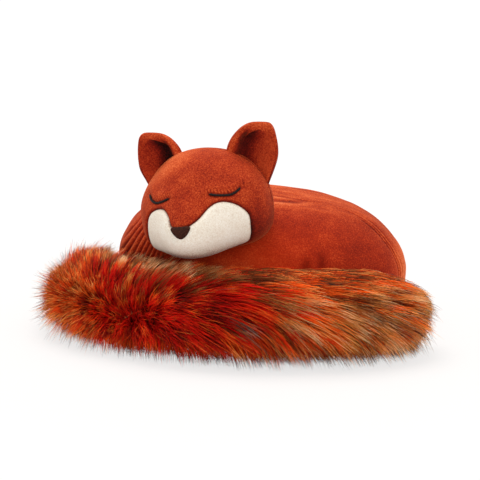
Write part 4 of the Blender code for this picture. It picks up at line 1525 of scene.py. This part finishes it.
def pickKinds(table, rng):
    edges = np.cumsum(table, axis=-1)
    return np.minimum((rng.random(len(table))[:, None] > edges).sum(axis=-1), len(furNames) - 1)


# Hairs that would run through the body or the head are turned outwards, or left out
def clearHairs(root, tip, normal):
    keep = np.ones(len(root), bool)
    for index in range(len(root)):
        if overSkin(bodyTree, root[index])[0] < fur["rootClear"]:
            keep[index] = False
            continue
        for tree in (bodyTree, headTree):
            above, near, facing = overSkin(tree, tip[index])
            if above < fur["tipTurn"]:
                tip[index] = np.array(near + facing * fur["tipTurned"])
        middle = (root[index] + tip[index]) / 2 + normal[index] * 0.003
        for tree in (bodyTree, headTree):
            middleOver, tipOver = overSkin(tree, middle)[0], overSkin(tree, tip[index])[0]
            if middleOver < fur["middleClear"] or tipOver < fur["tipClear"]:
                keep[index] = False
    return keep


# Moves hair tips so that they end at a wanted height over the tail's skin
def trimTips(tip, wanted):
    for index in range(len(tip)):
        above, _, facing = overSkin(tailTree, tip[index])
        tip[index] += np.array(facing) * (wanted[index] - above)
    return tip


def nearestOf(places, points):
    tree = KDTree(len(places))
    for index, point in enumerate(places):
        tree.insert(Vector(point), index)
    tree.balance()
    return np.array([tree.find(Vector(point))[1] for point in points])


# Locks of hair, each drawn towards its own tip; small locks follow the large one that they stand in
def furLocks(count, length, reach, rng, large=None):
    turn, run = furRoots(count, rng)
    reaches = reach * (0.94 + 0.16 * rng.random(count))
    root, chord, _, angle = furLay(turn, run, rng, reaches, np.full(count, length))
    tip = root + chord + rng.normal(0, 0.0015, chord.shape)
    lift = rng.normal(0, fur["lockLift"], count)
    lift = lift + 0.006 * smoothRamp(-root[:, 0], 0.075, 0.110) * (rng.random(count) ** 1.3 - 0.40)
    kind = pickKinds(furWeights(tip, angle), rng)
    shade = rng.random(count)
    if large:
        owner = nearestOf(large["root"], root)
        tip = tip + (large["tip"][owner] - tip) * 0.30
        lift = 0.7 * lift + large["lift"][owner]
        kind = np.where(rng.random(count) < 0.45, large["kind"][owner], kind)
        shade = 0.6 * shade + 0.4 * large["shade"][owner]
    return {"root": root, "tip": tip, "lift": lift, "kind": kind, "shade": shade, "spike": rng.random(count)}


# Hairs that pass a limit along an axis are cut shorter, and keep their direction
def shortened(root, tip, axis, way, limit):
    over = way * (tip[:, axis] - root[:, axis])
    room = limit - way * root[:, axis]
    share = np.where(over > room, room / np.maximum(over, 0.0001), 1)
    share = np.clip(share, 0.30, 1)[:, None]
    tip = root + (tip - root) * share
    tip[:, axis] = way * np.minimum(way * tip[:, axis], limit)
    return tip


# How far over the brushed skin each hair ends: further out near the floor, uneven at the left end
def hairHeights(root, lift, stray, leftEnd, reach, rng):
    count = len(root)
    low = smoothRamp(-root[:, 2], -0.022, -0.010)
    height = np.clip(rng.normal(0.0010, 0.0010, count) + lift, -0.006, 0.005) - (1 - reach) * 0.012
    height = height + 0.0012 * smoothRamp(-root[:, 0], 0.08, 0.12) + 0.0060 * low
    height = height + 0.0040 * low * bump(root[:, 0], 0.015, 0.050)
    height = height + 0.003 * leftEnd * (rng.random(count) ** 1.2 - 0.5)
    strays = (0.001 + 0.007 * rng.random(count) ** 1.4) * (1 + 1.1 * leftEnd)
    return np.where(stray, strays, height)


# The level that no hair passes: low at the rear, ragged at the left end, pressed flat to the right
def hairCrown(root, run, spike, leftEnd, rng):
    count = len(root)
    top = np.full(count, math.pi / 2)
    crown = tailSkin(top, run, 1.0)[:, 2] + 0.0025 + 0.005 * rng.random(count) ** 3
    crown = crown - 0.014 * smoothRamp(root[:, 1], 0.010, 0.055)
    crown = crown + leftEnd * (0.010 * spike ** 2 - 0.0095 + 0.004 * rng.random(count))
    crown = np.maximum(crown, backingSkin(top, run)[:, 2] + 0.005 + 0.003 * spike)
    pressed = 0.0145 * smoothRamp(root[:, 0], -0.01, 0.035)
    return crown - pressed * (1 - 0.58 * smoothRamp(root[:, 0], 0.095, 0.130))


# Where hairs start and end: each leans to its clump, is trimmed to the brushed skin and cut at the ends
def hairEnds(layer, count, rng):
    turn, run = furRoots(count, rng)
    reach = layer["reach"]
    length = fur["length"] * layer["length"]
    large = furLocks(fur["locks"], length, reach, rng)
    clumps = furLocks(fur["clumps"], length, reach, rng, large)
    lengths = length * np.clip(rng.normal(1, fur["lengthSpread"], count), 0.6, 1.4)
    x = tailSkin(turn, run, 1.0)[:, 0]
    leftEnd = smoothRamp(-x, 0.085, 0.125)
    behind = smoothRamp(wrapped(turn), 0.5, 1.0) * smoothRamp(x, -0.118, -0.100) * smoothRamp(-x, 0.0, 0.03)
    stray = rng.random(count) < (fur["strays"] + fur["leftStrays"] * leftEnd) * (1 - behind)
    reachShare = reach * np.where(stray, 1.18 + 0.2 * rng.random(count), 0.80 + 0.30 * rng.random(count))
    root, chord, normal, angle = furLay(turn, run, rng, reachShare, lengths)
    owner = nearestOf(clumps["root"], root)
    clump = {key: values[owner] for key, values in clumps.items()}
    pull = layer["clumping"] * (0.55 + 0.45 * rng.random(count)) * np.where(stray, 0.25, 1)
    goal = clump["tip"] + (root + chord - clump["tip"]) * (1 - pull)[:, None]
    overrun = 0.9 + 0.2 * rng.random(count)
    tip = root + (goal - root) * overrun[:, None] + rng.normal(0, 0.0006, root.shape)
    tip = trimTips(tip, hairHeights(root, clump["lift"], stray, leftEnd, reach, rng))
    crown = hairCrown(root, run, clump["spike"], leftEnd, rng)
    keep = clearHairs(root, tip, normal)
    slack = np.where(stray, 0.011 * rng.random(count), 0.004 * rng.random(count) - 0.004)
    slack = slack + 0.008 * clump["spike"] ** 1.5
    for way, limits in ((1, fur["rightEnd"]), (-1, fur["leftEnd"])):
        tip = shortened(root, tip, 0, way, np.interp(tip[:, 2], *np.transpose(limits)) + slack)
    tip = shortened(root, tip, 2, 1, crown)
    tip[:, 2] = np.maximum(tip[:, 2], fur["lowestTip"] + 0.0012 * rng.random(count))
    return {"root": root, "tip": tip, "normal": normal, "angle": angle, "stray": stray, "leftEnd": leftEnd,
            "behind": behind, "kind": clump["kind"], "shade": clump["shade"], "keep": keep}


# Most hairs are dyed as their clump is; strays and the fringe on the floor have dark tips
def hairTones(hair, layer, rng):
    root, tip, leftEnd = hair["root"], hair["tip"], hair["leftEnd"]
    count = len(root)
    own = rng.random(count) < fur["ownKind"]
    kind = np.where(own, pickKinds(furWeights(tip, hair["angle"]), rng), hair["kind"])
    fringe = smoothRamp(-tip[:, 2], -0.008, -0.002) * smoothRamp(-tip[:, 1], 0.03, 0.06)
    rightEnd = smoothRamp(tip[:, 0], 0.130, 0.145)
    for share, name in ((layer["dark"], "dark"), (0.65 * leftEnd * hair["stray"], "blackTip"),
                        (0.60 * fringe, "blackTip"), (0.7 * rightEnd * hair["stray"], "wisp")):
        kind = np.where(rng.random(count) < share, furNames.index(name), kind)
    shade = 0.80 * hair["shade"] + 0.20 * rng.random(count)
    shade = shade + 0.10 * leftEnd + 0.10 * smoothRamp(root[:, 0], 0.070, 0.110)
    shade = np.clip(0.5 + (shade - 0.5) * 1.5, 0, 0.999)
    step = np.floor(shade * fur["shadeSteps"])
    return (kind * fur["shadeSteps"] + step) / (len(furNames) * fur["shadeSteps"])


# The roots of one layer of fur, with all that they carry
def furSet(layer, rng):
    count = int(layer["hairs"] * (1))
    hair = hairEnds(layer, count, rng)
    tone = hairTones(hair, layer, rng)
    root, tip, leftEnd, behind = hair["root"], hair["tip"], hair["leftEnd"], hair["behind"]
    reach = np.linalg.norm(tip - root, axis=-1)
    lay = unit(tip - root)
    grounded = smoothRamp(-np.minimum(tip[:, 2], root[:, 2] - 0.006), -0.013, -0.005)[:, None]
    grounded = np.maximum(grounded, 0.50 * smoothRamp(root[:, 0], -0.05, 0.01)[:, None])
    lift = unit(hair["normal"] * (1 - grounded) + np.array([0, 0, 1.0]) * grounded)
    lift = lift + rng.normal(0, 0.14, lift.shape)
    rise = unit(lift - np.sum(lift * lay, axis=-1, keepdims=True) * lay)
    width = fur["halfWidth"] * (0.75 + 0.5 * rng.random(count))
    width = width * np.where(hair["stray"], 0.6 + 0.3 * leftEnd, 1)
    arch = 1 - 0.65 * leftEnd - 0.40 * behind * (1 - leftEnd)
    stretch = np.stack([reach, width, reach * arch], axis=-1)
    pick = rng.integers(0, len(strandShape["kinds"]), count)
    data = {"root": root, "lay": lay, "rise": rise, "stretch": stretch, "tone": tone, "pick": pick}
    return {key: value[hair["keep"]] for key, value in data.items()}


# One mesh of strands for each stretch of the tail, with no more faces than the most given
def growFur(name, data, tree, socket):
    most = fur["mostFaces"] // fur["strandFaces"]
    order = np.argsort(data["root"][:, 0], kind="stable")
    pieces = []
    parts = max(1, math.ceil(len(order) / most))
    for number, chosen in enumerate(np.array_split(order, parts)):
        seeds = bpy.data.meshes.new("roots")
        seeds.from_pydata(data["root"][chosen].tolist(), [], [])
        for key, kind in rootValues.items():
            layer = seeds.attributes.new(key, kind, "POINT")
            field = "vector" if kind == "FLOAT_VECTOR" else "value"
            layer.data.foreach_set(field, np.ascontiguousarray(data[key][chosen]).ravel())
        holder = addObject("roots", seeds)
        modifier = holder.modifiers.new("fur", "NODES")
        modifier.node_group = tree
        modifier[socket] = 1.0
        graph = bpy.context.evaluated_depsgraph_get()
        mesh = bpy.data.meshes.new_from_object(holder.evaluated_get(graph))
        holder.modifiers.clear()
        dropItem(holder)
        mesh.name = "%s_%d" % (name, number + 1)
        count = len(mesh.vertices)
        values = {}
        for key in ("along", "side", "tone"):
            values[key] = np.empty(count, np.float32)
            mesh.attributes[key].data.foreach_get("value", values[key])
        corner = np.empty(len(mesh.loops), np.int32)
        mesh.loops.foreach_get("vertex_index", corner)
        steps = len(furNames) * fur["shadeSteps"]
        uv = np.stack([0.01 + 0.98 * values["along"], values["tone"] + values["side"] / steps], axis=-1)
        layer = mesh.uv_layers.new(name="OFBake")
        layer.data.foreach_set("uv", uv[corner].astype(np.float32).ravel())
        for key in ("along", "side", *rootValues):
            if key in mesh.attributes:
                mesh.attributes.remove(mesh.attributes[key])
        pieces.append(addObject(mesh.name, mesh))
    return pieces


def buildFur():
    rng = np.random.default_rng(fur["seed"])
    group = strandTemplates()
    tree, socket = furTree(group)
    layers = [(fur[key]["name"], furSet(fur[key], rng)) for key in ("outer", "under")]
    pieces = [piece for name, data in layers for piece in growFur(name, data, tree, socket)]
    for item in list(group.objects):
        dropItem(item)
    bpy.data.collections.remove(group)
    return pieces


furPieces = buildFur()
dress(furPieces[0], "tail", "long_pile_fur", 0, "tail_fur_cover")
for piece in furPieces[1:]:
    dress(piece, "tail", "long_pile_fur", 0)
print("fur grown:", len(furPieces), "pieces,", sum(len(piece.data.polygons) for piece in furPieces), "faces")

addStudio()
print("studio lit")

bpy.context.view_layer.update()
